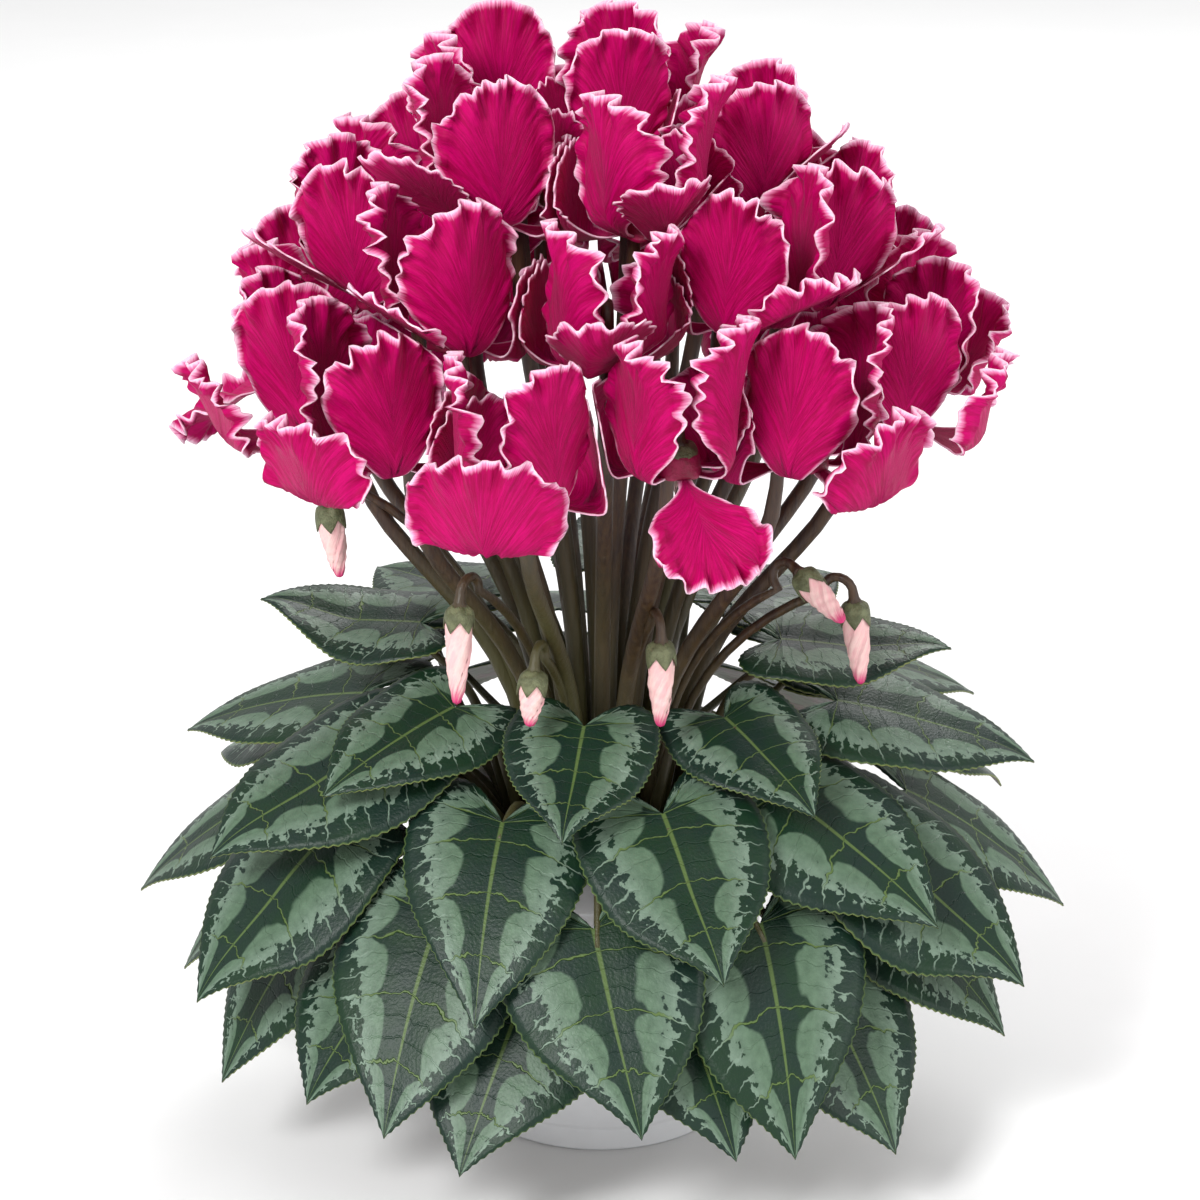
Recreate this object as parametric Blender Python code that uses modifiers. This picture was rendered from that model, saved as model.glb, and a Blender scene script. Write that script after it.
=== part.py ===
"""A florist's cyclamen in its pot, modelled in metres with +Z up.

The origin is the middle of the pot's underside. A white pot holds the soil, and the corm sits
in a hollow in the soil with its crown above it. The flower stems grow out of the crown, hook
over at the top, and carry the blooms and the buds on the end of the hook. The leaves grow in
tufts that stand in plain holes in the soil, on the shoulder of the corm.
"""

import math
import random
from dataclasses import dataclass

import bmesh
import bpy
from mathutils import Matrix, Vector

# Clearance between two pieces that touch
GAP = 0.0003

# Pot
POT_HEIGHT = 0.115
POT_RIM_RADIUS = 0.065
POT_BASE_RADIUS = 0.047
POT_RIM_DEPTH = 0.013
POT_RIM_LEDGE = 0.0022
POT_RIM_ROUND = 0.0012
POT_WALL = 0.0020
POT_FLOOR = 0.0035
POT_FOOT_HEIGHT = 0.009
POT_SIDES = 22
DRAIN_RADIUS = 0.0045
DRAIN_CIRCLE = 0.029
DRAIN_COUNT = 4
DRAIN_SIDES = 8

# Soil and corm
SOIL_TOP = 0.104
SOIL_DIP = 0.002
CORM_CROWN_TOP = 0.108
CORM_CROWN_RADIUS = 0.026
CORM_SHOULDER_TOP = 0.097
CORM_RADIUS = 0.041
CORM_BOTTOM = 0.070
CORM_SIDES = 12
FOOT_RADIUS = 0.0045
FOOT_CIRCLE = 0.0335
FOOT_TOP = 0.1100
FOOT_SIDES = 6
TUFT_COUNT = 12

# Leaf canopy: a dome that every leaf follows at its own level, a little higher at the back
CANOPY_TOP = 0.186
CANOPY_DROP = 0.100
CANOPY_RADIUS = 0.150
CANOPY_POWER = 3.0
CANOPY_OVAL = 1.12
CANOPY_LEAN = 0.13
CANOPY_STEPS = 12
BLADE_THICKNESS = 0.0009
BLADE_FOLD = 0.0012
BLADE_WAVE = 0.0015
BLADE_WAVE_PACE = 7.0
TIP_LIFT_START = 0.35
LEAF_LEAN = 0.05
PETIOLE_RADIUS = 0.0019
PETIOLE_LENGTHS = 3
PETIOLE_JOIN = 0.006
PETIOLE_TIP_RADIUS = 0.0006
PETIOLE_FOOT_SHARE = 1.15
PETIOLE_TAPER = 0.25
FOOT_SPREAD = 0.0024
LEAF_TURN = 3
LEAF_YAW = 13
SIZE_SPREAD = (0.94, 1.06)
LEAF_SEED = 3

# Half of a leaf's outline from notch to tip, across by the half width and along by the length
HEART = (
    (0.0, 0.0),
    (0.10, -0.07),
    (0.64, -0.25),
    (1.0, -0.03),
    (0.94, 0.34),
    (0.54, 0.70),
    (0.0, 1.0),
)
MIDRIB = (0.70, 0.36)
BLADE_CROWN = (0.50, 0.17)

# Flower dome
PETAL_LENGTH = 0.064
PETAL_HALF_WIDTH = 0.0270
PETAL_THICKNESS = 0.0009
OUTER_CURL_RADIUS = 0.052
INNER_CURL_RADIUS = 0.034
OUTER_BEND = 0.57
INNER_BEND = 0.30
OUTER_LEAN = (79, 87)
INNER_LEAN = (86, 91)
INNER_WIDTH = 0.82
PETAL_ROLLS = ((-28, -4), (-12, 4), (-18, -2), (-12, 4), (-28, -4))
ROLL_START = 0.4
PETAL_TWIST = 6
TWIST_RUN = (0.15, 0.8)
PETAL_RUFFLE = 0.0030
RUFFLE_TIP = (0.72, 1.0)
RUFFLE_FLANK = (0.55, 1.0)
RUFFLE_RUN = (0.3, 0.6)
RUFFLE_PACE = 9.5
RUFFLE_SLANT = 6.0
PETAL_START = 0.0066
PETAL_STEPS = 14
CLAW_SLOPE = -18.0
CLAW_BEND = 0.32
CLAW_WIDTH = 0.115
WIDENING = (0.10, 0.76)
WIDENING_POWER = 0.85
CORNER_CUT = 0.26
CORNER_POWER = 2.4
FULL_ROWS = ((0.34, 3), (0.68, 4), (1.0, 5))
PLAIN_ROWS = ((0.34, 3), (0.68, 3), (1.0, 4))
HANGING_LEAN = -26
HANGING_SIZE = 0.80
FIRST_PETAL = 50
PETAL_SPACING = 65
TUBE_LENGTH = 0.0095
TUBE_MOUTH_RADIUS = 0.0078
TUBE_TOP_RADIUS = 0.0058
CELL_GAP = 0.0011
CELL_SOFT = 0.86
CELL_CENTRE = 0.016
STEM_RADIUS = 0.0029
STEM_SIDE = 0.0122
STEM_TOP = 0.012
HOOK_RISE = 0.0042
HOOK_CREST = 0.45
HOOK_END = 0.8
STEM_SHARES = (0.0, 0.25, 0.46, 1.0)
STEM_PULL_UP = 0.58
STEM_PULL_BACK = 0.16
HOOK_THINNING = 0.72
BLOOM_SEED = 25

# Buds
BUD_RADIUS = 0.0046
BUD_STEM_RADIUS = 0.0017
BUD_HOOK = 0.0058
BUD_SIDES = 5
BUD_TWIST = 1.6
BUD_OUTLINE = ((0.0, 0.80), (0.16, 1.0), (0.45, 0.92), (0.72, 0.62), (0.93, 0.28))
BUD_STEM_SHARES = (0.0, 0.3, 0.6, 0.85, 1.0)
BUD_HOOK_ANGLES = (50, 100, 145)


@dataclass
class Tier:
    """One ring of leaves: how many, where they are, their size, fall and the way of their stalks."""

    count: int
    start: float
    base_radius: float
    level: float
    step: float
    length: float
    half_width: float
    side_fall: float
    outwards: float
    route: tuple


@dataclass
class Leaf:
    """One leaf on the canopy."""

    azimuth: float
    yaw: float
    base_radius: float
    level: float
    lift: float
    length: float
    half_width: float
    side_fall: float
    phase: float
    outwards: float
    route: tuple


@dataclass
class Ring:
    """One ring of blooms: how many, where they are, how they lean and where their stems start."""

    count: int
    start: float
    radius: float
    height: float
    tilt: float
    crown_radius: float


@dataclass
class Bud:
    """One bud: its place in plan, the top of its hook, its length and the way that it points."""

    x: float
    y: float
    top: float
    length: float
    lean: float


TIERS = (
    Tier(8, -95, 0.060, 0.000, 0.008, 0.053, 0.0245, 0.64, -1.0, ((0.039, 0.138), (0.049, 0.163))),
    Tier(10, -78, 0.077, -0.017, 0.008, 0.068, 0.0290, 0.74, -0.33, ((0.046, 0.126), (0.065, 0.141))),
    Tier(12, -90, 0.098, -0.034, 0.008, 0.075, 0.0325, 0.86, 0.33, ((0.052, 0.127), (0.076, 0.129))),
    Tier(14, -77, 0.096, -0.053, 0.008, 0.067, 0.0305, 1.0, 0.9, ((0.056, 0.1205), (0.076, 0.1150))),
)

RINGS = (
    Ring(1, 0, 0.000, 0.366, 0, 0.000),
    Ring(5, -70, 0.047, 0.353, 2, 0.008),
    Ring(9, -90, 0.079, 0.320, 5, 0.0155),
    Ring(12, -75, 0.104, 0.283, 5, 0.0225),
)

BUDS = (
    Bud(-0.048, -0.078, 0.231, 0.034, 4),
    Bud(-0.023, -0.070, 0.204, 0.018, 14),
    Bud(0.021, -0.068, 0.214, 0.030, 0),
    Bud(0.070, -0.058, 0.236, 0.022, 55),
    Bud(0.089, -0.044, 0.220, 0.029, 6),
    Bud(-0.095, -0.030, 0.251, 0.026, -8),
    Bud(0.030, 0.074, 0.242, 0.026, 5),
    Bud(-0.055, 0.062, 0.238, 0.022, 8),
)


def clear_scene():
    """Remove whatever the file holds."""
    for old in list(bpy.data.objects):
        bpy.data.objects.remove(old, do_unlink=True)


def new_collection(name):
    """Make a collection in the scene."""
    made = bpy.data.collections.new(name)
    bpy.context.scene.collection.children.link(made)
    return made


def make_material(name, colour, roughness):
    """Make one plain finish."""
    made = bpy.data.materials.new(name)
    made.use_nodes = True
    shader = made.node_tree.nodes["Principled BSDF"]
    shader.inputs["Base Color"].default_value = (*colour, 1.0)
    shader.inputs["Roughness"].default_value = roughness
    shader.inputs["Metallic"].default_value = 0.0
    return made


def add_object(name, mesh, collection):
    """Put a mesh in a collection as an object."""
    made = bpy.data.objects.new(name, mesh)
    collection.objects.link(made)
    return made


def bake(obj, weld=0.000001):
    """Replace an object by the mesh that its modifiers or its curve give."""
    graph = bpy.context.evaluated_depsgraph_get()
    graph.update()
    mesh = bpy.data.meshes.new_from_object(obj.evaluated_get(graph))
    welded = bmesh.new()
    welded.from_mesh(mesh)
    bmesh.ops.remove_doubles(welded, verts=welded.verts, dist=weld)
    welded.to_mesh(mesh)
    welded.free()
    collection = obj.users_collection[0]
    name = obj.name
    matrix = obj.matrix_world.copy()
    bpy.data.objects.remove(obj, do_unlink=True)
    made = add_object(name, mesh, collection)
    made.matrix_world = matrix
    return made


def turned(name, profile, sides, collection):
    """Turn a profile of (radius, height) pairs about +Z."""
    mesh = bpy.data.meshes.new(name)
    edges = [(i, i + 1) for i in range(len(profile) - 1)]
    mesh.from_pydata([(radius, 0.0, height) for radius, height in profile], edges, [])
    made = add_object(name, mesh, collection)
    screw = made.modifiers.new("Turn", "SCREW")
    screw.axis = "Z"
    screw.steps = sides
    screw.render_steps = sides
    screw.use_merge_vertices = True
    screw.merge_threshold = 0.00001
    return bake(made)


def prism(name, radius, low, high, sides, place, collection):
    """Make an upright prism with many sides, as a plug or as a cutter."""
    shape = bmesh.new()
    bmesh.ops.create_cone(
        shape, cap_ends=True, segments=sides, radius1=radius, radius2=radius, depth=high - low
    )
    bmesh.ops.translate(shape, verts=shape.verts, vec=(place[0], place[1], (low + high) / 2))
    mesh = bpy.data.meshes.new(name)
    shape.to_mesh(mesh)
    shape.free()
    return add_object(name, mesh, collection)


def tube(name, points, radii, resolution, collection):
    """Make a tube along points, with a radius at each of them."""
    curve = bpy.data.curves.new(name, "CURVE")
    curve.dimensions = "3D"
    curve.bevel_depth = 1.0
    curve.bevel_resolution = resolution
    curve.use_fill_caps = True
    spline = curve.splines.new("POLY")
    spline.points.add(len(points) - 1)
    for point, place, radius in zip(spline.points, points, radii):
        point.co = (*place, 1.0)
        point.radius = radius
    return bake(add_object(name, curve, collection))


def fuse(name, pieces, collection, solver="EXACT"):
    """Join solids that run into each other into one solid."""
    first, rest = pieces[0], pieces[1:]
    group = bpy.data.collections.new(name + "_pieces")
    bpy.context.scene.collection.children.link(group)
    for piece in rest:
        for old in list(piece.users_collection):
            old.objects.unlink(piece)
        group.objects.link(piece)
    join = first.modifiers.new("Join", "BOOLEAN")
    join.operation = "UNION"
    join.operand_type = "COLLECTION"
    join.collection = group
    join.solver = solver
    made = bake(first, weld=0.0000001)
    for piece in list(group.objects):
        bpy.data.objects.remove(piece, do_unlink=True)
    bpy.data.collections.remove(group)
    for old in list(made.users_collection):
        old.objects.unlink(made)
    collection.objects.link(made)
    made.name = name
    made.data.name = name
    return made


def cut(body, cutters):
    """Take every cutter in a collection away from a body."""
    for cutter in cutters.objects:
        cutter.hide_render = True
        cutter.display_type = "WIRE"
    carve = body.modifiers.new("Cut", "BOOLEAN")
    carve.operation = "DIFFERENCE"
    carve.operand_type = "COLLECTION"
    carve.collection = cutters
    carve.solver = "EXACT"


def polar(radius, azimuth):
    """Give a place in plan from its radius and its azimuth in degrees."""
    turn = math.radians(azimuth)
    return Vector((radius * math.cos(turn), radius * math.sin(turn), 0.0))


def pot_inner_radius(height):
    """Give the radius of the pot's inside at a height."""
    share = (height - POT_FLOOR) / (POT_HEIGHT - POT_FLOOR)
    low = POT_BASE_RADIUS - POT_WALL
    high = POT_RIM_RADIUS - POT_RIM_LEDGE - POT_WALL
    return low + (high - low) * share


def make_pot(collection, cutters):
    """Turn the pot's wall, rim and foot, and cut its drain holes."""
    ledge_radius = POT_RIM_RADIUS - POT_RIM_LEDGE
    profile = (
        (0.0, POT_FLOOR),
        (pot_inner_radius(POT_FLOOR), POT_FLOOR),
        (pot_inner_radius(POT_HEIGHT), POT_HEIGHT - 0.001),
        (POT_RIM_RADIUS - POT_RIM_ROUND, POT_HEIGHT),
        (POT_RIM_RADIUS, POT_HEIGHT - POT_RIM_ROUND),
        (POT_RIM_RADIUS - 0.0008, POT_HEIGHT - POT_RIM_DEPTH),
        (ledge_radius, POT_HEIGHT - POT_RIM_DEPTH - POT_RIM_ROUND),
        (POT_BASE_RADIUS + 0.0020, POT_FOOT_HEIGHT + 0.0010),
        (POT_BASE_RADIUS + 0.0008, POT_FOOT_HEIGHT),
        (POT_BASE_RADIUS, 0.0),
        (0.0, 0.0),
    )
    pot = turned("pot", profile, POT_SIDES, collection)
    for index in range(DRAIN_COUNT):
        place = polar(DRAIN_CIRCLE, 45 + index * 360 / DRAIN_COUNT)
        name = f"drain_{index + 1}"
        prism(name, DRAIN_RADIUS, -POT_FLOOR, 2 * POT_FLOOR, DRAIN_SIDES, place, cutters)
    cut(pot, cutters)
    return pot


def corm_profile(grow):
    """Give the corm's outline, grown by a clearance for the hollow in the soil."""
    return (
        (0.0, CORM_CROWN_TOP + grow),
        (CORM_CROWN_RADIUS + grow, CORM_CROWN_TOP + grow),
        (CORM_CROWN_RADIUS + 0.001 + grow, CORM_SHOULDER_TOP + grow),
        (CORM_RADIUS - 0.001 + grow, CORM_SHOULDER_TOP + grow),
        (CORM_RADIUS + grow, CORM_SHOULDER_TOP - 0.006),
        (CORM_RADIUS - 0.012 + grow, CORM_BOTTOM + 0.004 - grow),
        (0.0, CORM_BOTTOM - grow),
    )


def foot_place(index):
    """Give the place of a tuft's foot in plan."""
    return polar(FOOT_CIRCLE, -90 + index * 360 / TUFT_COUNT)


def make_soil(collection, cutters):
    """Turn the soil that fills the pot, with a hollow for the corm and holes for the tufts."""
    bottom = POT_FLOOR + GAP
    profile = (
        (0.0, SOIL_TOP + 0.0005),
        (CORM_RADIUS - 0.001, SOIL_TOP),
        (pot_inner_radius(SOIL_TOP - SOIL_DIP) - GAP, SOIL_TOP - SOIL_DIP),
        (pot_inner_radius(bottom) - 2 * GAP, bottom),
        (0.0, bottom),
    )
    soil = turned("soil", profile, POT_SIDES, collection)
    turned("corm_hollow", corm_profile(GAP), CORM_SIDES, cutters)
    for index in range(TUFT_COUNT):
        name = f"foot_hole_{index + 1}"
        radius = FOOT_RADIUS + GAP
        place = foot_place(index)
        prism(name, radius, CORM_SHOULDER_TOP, FOOT_TOP, FOOT_SIDES, place, cutters)
    cut(soil, cutters)
    return soil


def canopy_height(radius):
    """Give the height of the canopy at a distance from the axis."""
    return CANOPY_TOP - CANOPY_DROP * (radius / CANOPY_RADIUS) ** CANOPY_POWER


def canopy_fall(place, side_fall):
    """Give the radius whose height a place takes: the canopy falls less to its sides and back."""
    return math.hypot(place.x * side_fall, place.y * (side_fall if place.y > 0 else 1.0))


def canopy_walk(radius, distance, steepness):
    """Give the radius that is reached by going a distance down the canopy's slope."""
    for _ in range(CANOPY_STEPS):
        share = max(radius, 0.0) * steepness / CANOPY_RADIUS
        slope = steepness * CANOPY_DROP * CANOPY_POWER / CANOPY_RADIUS * share ** (CANOPY_POWER - 1)
        radius += distance / CANOPY_STEPS / math.hypot(1.0, slope)
    return radius


def smooth_step(low, high, value):
    """Rise smoothly from 0 at low to 1 at high."""
    share = min(max((value - low) / (high - low), 0.0), 1.0)
    return share * share * (3.0 - 2.0 * share)


def leaf_relief(leaf, across, along):
    """Give how far the blade stands above its level: a fold, a waved edge and a lifted tip."""
    side = abs(across) / leaf.half_width
    run = along / leaf.length
    fold = BLADE_FOLD * 4.0 * side * (1.0 - side)
    turn = math.copysign(1.0, across) * leaf.phase
    wave = BLADE_WAVE * side * side * math.sin(BLADE_WAVE_PACE * run + turn)
    return fold + wave + leaf.lift * smooth_step(TIP_LIFT_START, 1.0, run)


def leaf_point(leaf, across, along):
    """Lay a point of the flat blade on the canopy."""
    turn = math.radians(leaf.yaw)
    walk = along * math.cos(turn) - across * math.sin(turn)
    side = along * math.sin(turn) + across * math.cos(turn)
    out = polar(1.0, leaf.azimuth)
    sideways = Vector((-out.y, out.x, 0.0))
    reached = canopy_walk(leaf.base_radius, walk, canopy_fall(out, leaf.side_fall))
    place = out * reached + sideways * side
    height = canopy_height(canopy_fall(place, leaf.side_fall)) + leaf.level
    height += leaf_relief(leaf, across, along) + CANOPY_LEAN * place.y + LEAF_LEAN * out.x * side
    return Vector((place.x * CANOPY_OVAL, place.y, height))


def make_blade(name, leaf, collection):
    """Make a heart-shaped blade whose halves meet at the midrib, each a fan about its own crown."""
    surface = bmesh.new()

    def spot(across, along):
        return surface.verts.new(leaf_point(leaf, across * leaf.half_width, along * leaf.length))

    notch = spot(*HEART[0])
    tip = spot(*HEART[-1])
    midrib = [spot(0.0, along) for along in MIDRIB]
    for side in (1.0, -1.0):
        crown = spot(side * BLADE_CROWN[0], BLADE_CROWN[1])
        edge = [spot(side * across, along) for across, along in HEART[1:-1]]
        loop = [notch] + edge + [tip] + midrib
        for here, after in zip(loop, loop[1:] + loop[:1]):
            corners = (crown, here, after) if side > 0 else (crown, after, here)
            surface.faces.new(corners)
    mesh = bpy.data.meshes.new(name)
    surface.to_mesh(mesh)
    surface.free()
    blade = add_object(name, mesh, collection)
    solid = blade.modifiers.new("Thickness", "SOLIDIFY")
    solid.thickness = BLADE_THICKNESS
    solid.offset = 0.0
    return bake(blade)


def curve_point(points, share):
    """Give a point of a smooth curve through given points, at a share of its length from 0 to 1."""
    spans = len(points) - 1
    place = min(share * spans, spans - 1e-9)
    i = int(place)
    t = place - i
    p0 = points[max(i - 1, 0)]
    p1 = points[i]
    p2 = points[i + 1]
    p3 = points[min(i + 2, spans)]
    square = 2 * p0 - 5 * p1 + 4 * p2 - p3
    cube = 3 * p1 - p0 - 3 * p2 + p3
    return 0.5 * (2 * p1 + (p2 - p0) * t + square * t**2 + cube * t**3)


def make_petiole(name, leaf, foot, collection):
    """Make the stalk that carries a blade, from its tuft's foot to the midrib by the notch."""
    end = leaf_point(leaf, 0.0, PETIOLE_JOIN)
    foot_turn = math.atan2(foot.y, foot.x)
    end_turn = math.atan2(end.y, end.x)
    swing = math.remainder(end_turn - foot_turn, math.tau)
    end_radius = math.hypot(end.x, end.y)
    aside = math.copysign(max(math.sqrt(1.0 - leaf.outwards**2), 0.5), swing) * FOOT_SPREAD
    start = FOOT_CIRCLE + leaf.outwards * FOOT_SPREAD
    route = [Vector((start, aside / start / swing, FOOT_TOP - 0.0035))]
    for radius, height in leaf.route:
        share = (radius - start) / (end_radius - start)
        route.append(Vector((radius, share, height)))
    route.append(Vector((end_radius, 1.0, end.z)))
    points = []
    for step in range(PETIOLE_LENGTHS + 1):
        spot = curve_point(route, step / PETIOLE_LENGTHS)
        turn = foot_turn + swing * spot.y
        points.append((spot.x * math.cos(turn), spot.x * math.sin(turn), spot.z))
    radii = []
    for step in range(PETIOLE_LENGTHS):
        radii.append(PETIOLE_RADIUS * (PETIOLE_FOOT_SHARE - PETIOLE_TAPER * step / PETIOLE_LENGTHS))
    radii.append(PETIOLE_TIP_RADIUS)
    return tube(name, points, radii, 0, collection)


def draw_leaves():
    """Give every leaf of the plant, tier by tier."""
    draw = random.Random(LEAF_SEED)
    leaves = []
    for tier in TIERS:
        for index in range(tier.count):
            under = index % 2
            size = draw.uniform(*SIZE_SPREAD)
            leaves.append(
                Leaf(
                    azimuth=tier.start + index * 360 / tier.count + draw.uniform(-LEAF_TURN, LEAF_TURN),
                    yaw=draw.uniform(-LEAF_YAW, LEAF_YAW),
                    base_radius=tier.base_radius + draw.uniform(-0.002, 0.002),
                    level=tier.level - under * tier.step,
                    lift=draw.uniform(0.0, 0.003) if under else draw.uniform(0.0, 0.011),
                    length=tier.length * size,
                    half_width=tier.half_width * size,
                    side_fall=tier.side_fall,
                    phase=draw.uniform(0, math.tau),
                    outwards=tier.outwards,
                    route=tier.route,
                )
            )
    return leaves


def make_tufts(collection):
    """Make the tufts of leaves: blades and stalks that share a foot, each tuft one solid."""
    pieces = {index: [] for index in range(TUFT_COUNT)}
    for number, leaf in enumerate(draw_leaves(), start=1):
        index = round((leaf.azimuth + 90) / 360 * TUFT_COUNT) % TUFT_COUNT
        pieces[index].append(make_petiole(f"stalk_{number}", leaf, foot_place(index), collection))
        pieces[index].append(make_blade(f"blade_{number}", leaf, collection))
    tufts = []
    for index, parts in pieces.items():
        place = foot_place(index)
        low = CORM_SHOULDER_TOP + GAP
        name = f"foot_{index + 1}"
        foot = prism(name, FOOT_RADIUS, low, FOOT_TOP, FOOT_SIDES, place, collection)
        tufts.append(fuse(f"leaf_tuft_{index + 1:02d}", [foot] + parts, collection))
    return tufts


@dataclass
class Bloom:
    """One bloom: the top of its tube, its axis, the way to its stem, and where its stem starts."""

    number: int
    place: Vector
    axis: Vector
    inward: Vector
    foot: Vector
    outside: float


def draw_blooms():
    """Give every bloom of the plant, ring by ring."""
    draw = random.Random(BLOOM_SEED)
    blooms = []
    for ring in RINGS:
        for index in range(ring.count):
            azimuth = ring.start + index * 360 / ring.count + draw.uniform(-3, 3)
            radius = ring.radius + draw.uniform(-0.003, 0.003) * (ring.count > 1)
            height = ring.height + draw.uniform(-0.007, 0.007) * (ring.count > 1)
            out = polar(1.0, azimuth)
            tilt = math.radians(ring.tilt)
            axis = Vector((out.x * math.sin(tilt), out.y * math.sin(tilt), math.cos(tilt)))
            sideways = Vector((-out.y, out.x, 0.0))
            blooms.append(
                Bloom(
                    number=len(blooms) + 1,
                    place=out * radius + Vector((0.0, 0.0, height)),
                    axis=axis,
                    inward=axis.cross(sideways),
                    foot=polar(ring.crown_radius, azimuth),
                    outside=ring.radius / RINGS[-1].radius,
                )
            )
    return blooms


@dataclass
class Petal:
    """One petal: its turn about the bloom's axis, its lean, roll, twist, size and ruffle."""

    turn: float
    lean: float
    roll: float
    twist: float
    size: float
    phase: float
    curl: float
    bend: float
    width: float
    faces_axis: bool


def draw_petals(bloom):
    """Give the five petals of a bloom, with a wider space where the stem comes up."""
    draw = random.Random(BLOOM_SEED * 100 + bloom.number)
    petals = []
    for index in range(5):
        inner = index % 2 == 1
        hangs = bloom.outside > 0.9 and index == 2 and bloom.number % 4 == 0
        turn = FIRST_PETAL + index * PETAL_SPACING + draw.uniform(-2, 2)
        lean = HANGING_LEAN if hangs else draw.uniform(*(INNER_LEAN if inner else OUTER_LEAN))
        petals.append(
            Petal(
                turn=turn,
                lean=lean,
                roll=draw.uniform(*PETAL_ROLLS[index]),
                twist=draw.uniform(-PETAL_TWIST, PETAL_TWIST),
                size=draw.uniform(*SIZE_SPREAD) * (HANGING_SIZE if hangs else 1.0),
                phase=draw.uniform(0, math.tau),
                curl=INNER_CURL_RADIUS if inner else OUTER_CURL_RADIUS,
                bend=INNER_BEND if inner else OUTER_BEND,
                width=PETAL_HALF_WIDTH * (INNER_WIDTH if inner else 1.0),
                faces_axis=index in (0, 4),
            )
        )
    return petals


def petal_spine(petal, share):
    """Give the radius, height and slope of the petal's middle line at a share of its length."""
    radius, height, slope = PETAL_START, -TUBE_LENGTH, 0.0
    stride = PETAL_LENGTH * petal.size * share / PETAL_STEPS
    for step in range(PETAL_STEPS):
        run = share * (step + 0.5) / PETAL_STEPS
        bent = smooth_step(petal.bend - CLAW_BEND, petal.bend, run)
        turn = CLAW_SLOPE + (petal.lean - CLAW_SLOPE) * bent
        slope = math.radians(turn + petal.roll * smooth_step(ROLL_START, 1.0, run))
        radius += stride * math.cos(slope)
        height += stride * math.sin(slope)
    return radius, height, slope


def petal_half_width(petal, share):
    """Give half the petal's width at a share of its length."""
    grow = smooth_step(*WIDENING, share) ** WIDENING_POWER
    return petal.width * petal.size * (CLAW_WIDTH + (1.0 - CLAW_WIDTH) * grow)


def petal_point(petal, share, side):
    """Give a point of the petal in its bloom's own frame; side runs from -1 to 1."""
    reach = share * (1.0 - CORNER_CUT * abs(side) ** CORNER_POWER * share)
    radius, height, slope = petal_spine(petal, reach)
    across = side * petal_half_width(petal, reach)
    bend = across / petal.curl
    flat = petal.curl * math.sin(bend)
    flank = smooth_step(*RUFFLE_FLANK, abs(side)) * smooth_step(*RUFFLE_RUN, share)
    edge = max(smooth_step(*RUFFLE_TIP, share), flank)
    wave = math.sin(RUFFLE_PACE * side + RUFFLE_SLANT * share * side + petal.phase)
    ruffle = PETAL_RUFFLE * edge * wave
    off = -petal.curl * (1.0 - math.cos(bend)) + ruffle
    twist = math.radians(petal.twist) * smooth_step(*TWIST_RUN, reach)
    sideways = flat * math.cos(twist) - off * math.sin(twist)
    outward = flat * math.sin(twist) + off * math.cos(twist)
    radius += outward * math.sin(slope)
    height -= outward * math.cos(slope)
    turn = math.radians(petal.turn)
    return Vector(
        (
            radius * math.cos(turn) - sideways * math.sin(turn),
            radius * math.sin(turn) + sideways * math.cos(turn),
            height,
        )
    )


def bloom_matrix(bloom):
    """Give the bloom's frame: x towards the stem, z along the axis."""
    y_axis = bloom.axis.cross(bloom.inward)
    turn = Matrix((bloom.inward, y_axis, bloom.axis)).transposed().to_4x4()
    return Matrix.Translation(bloom.place) @ turn


def keep_in_cell(point, bloom, blooms):
    """Draw a point back towards its bloom's middle, so that it stays clear of the next blooms."""
    centre = bloom.place + bloom.axis * CELL_CENTRE
    arm = point - centre
    fill = 0.0
    for other in blooms:
        if other is bloom:
            continue
        across = other.place + other.axis * CELL_CENTRE - centre
        half = across.length / 2 - CELL_GAP
        fill = max(fill, arm.dot(across) / across.length / half)
    if fill <= CELL_SOFT:
        return point
    room = 1.0 - CELL_SOFT
    soft = CELL_SOFT + room * (1.0 - math.exp(-(fill - CELL_SOFT) / room))
    return centre + arm * (soft / fill)


def tube_ring(bloom, petals, radius, height, surface):
    """Make a ring of five points, one between each petal and the next."""
    frame = bloom_matrix(bloom)
    ring = []
    for index, petal in enumerate(petals):
        before = petals[index - 1].turn - (360.0 if index == 0 else 0.0)
        spot = polar(radius, (petal.turn + before) / 2)
        spot.z = height
        ring.append(surface.verts.new(frame @ spot))
    return ring


def add_petal(surface, petal, claw, bloom, blooms):
    """Grow a petal from its claw, in rows of points that are more towards its ruffled edge."""
    frame = bloom_matrix(bloom)
    lines = [claw]
    for share, count in PLAIN_ROWS if petal.faces_axis else FULL_ROWS:
        line = []
        for i in range(count):
            side = -1.0 + 2.0 * i / (count - 1)
            point = frame @ petal_point(petal, share, side)
            line.append(surface.verts.new(keep_in_cell(point, bloom, blooms)))
        lines.append(line)
    for low, high in zip(lines, lines[1:]):
        for i in range(len(high) - 1):
            surface.faces.new((low[min(i, len(low) - 1)], high[i], high[i + 1]))
        for i in range(len(low) - 1):
            surface.faces.new((low[i], high[i + 1], low[i + 1]))


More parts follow.
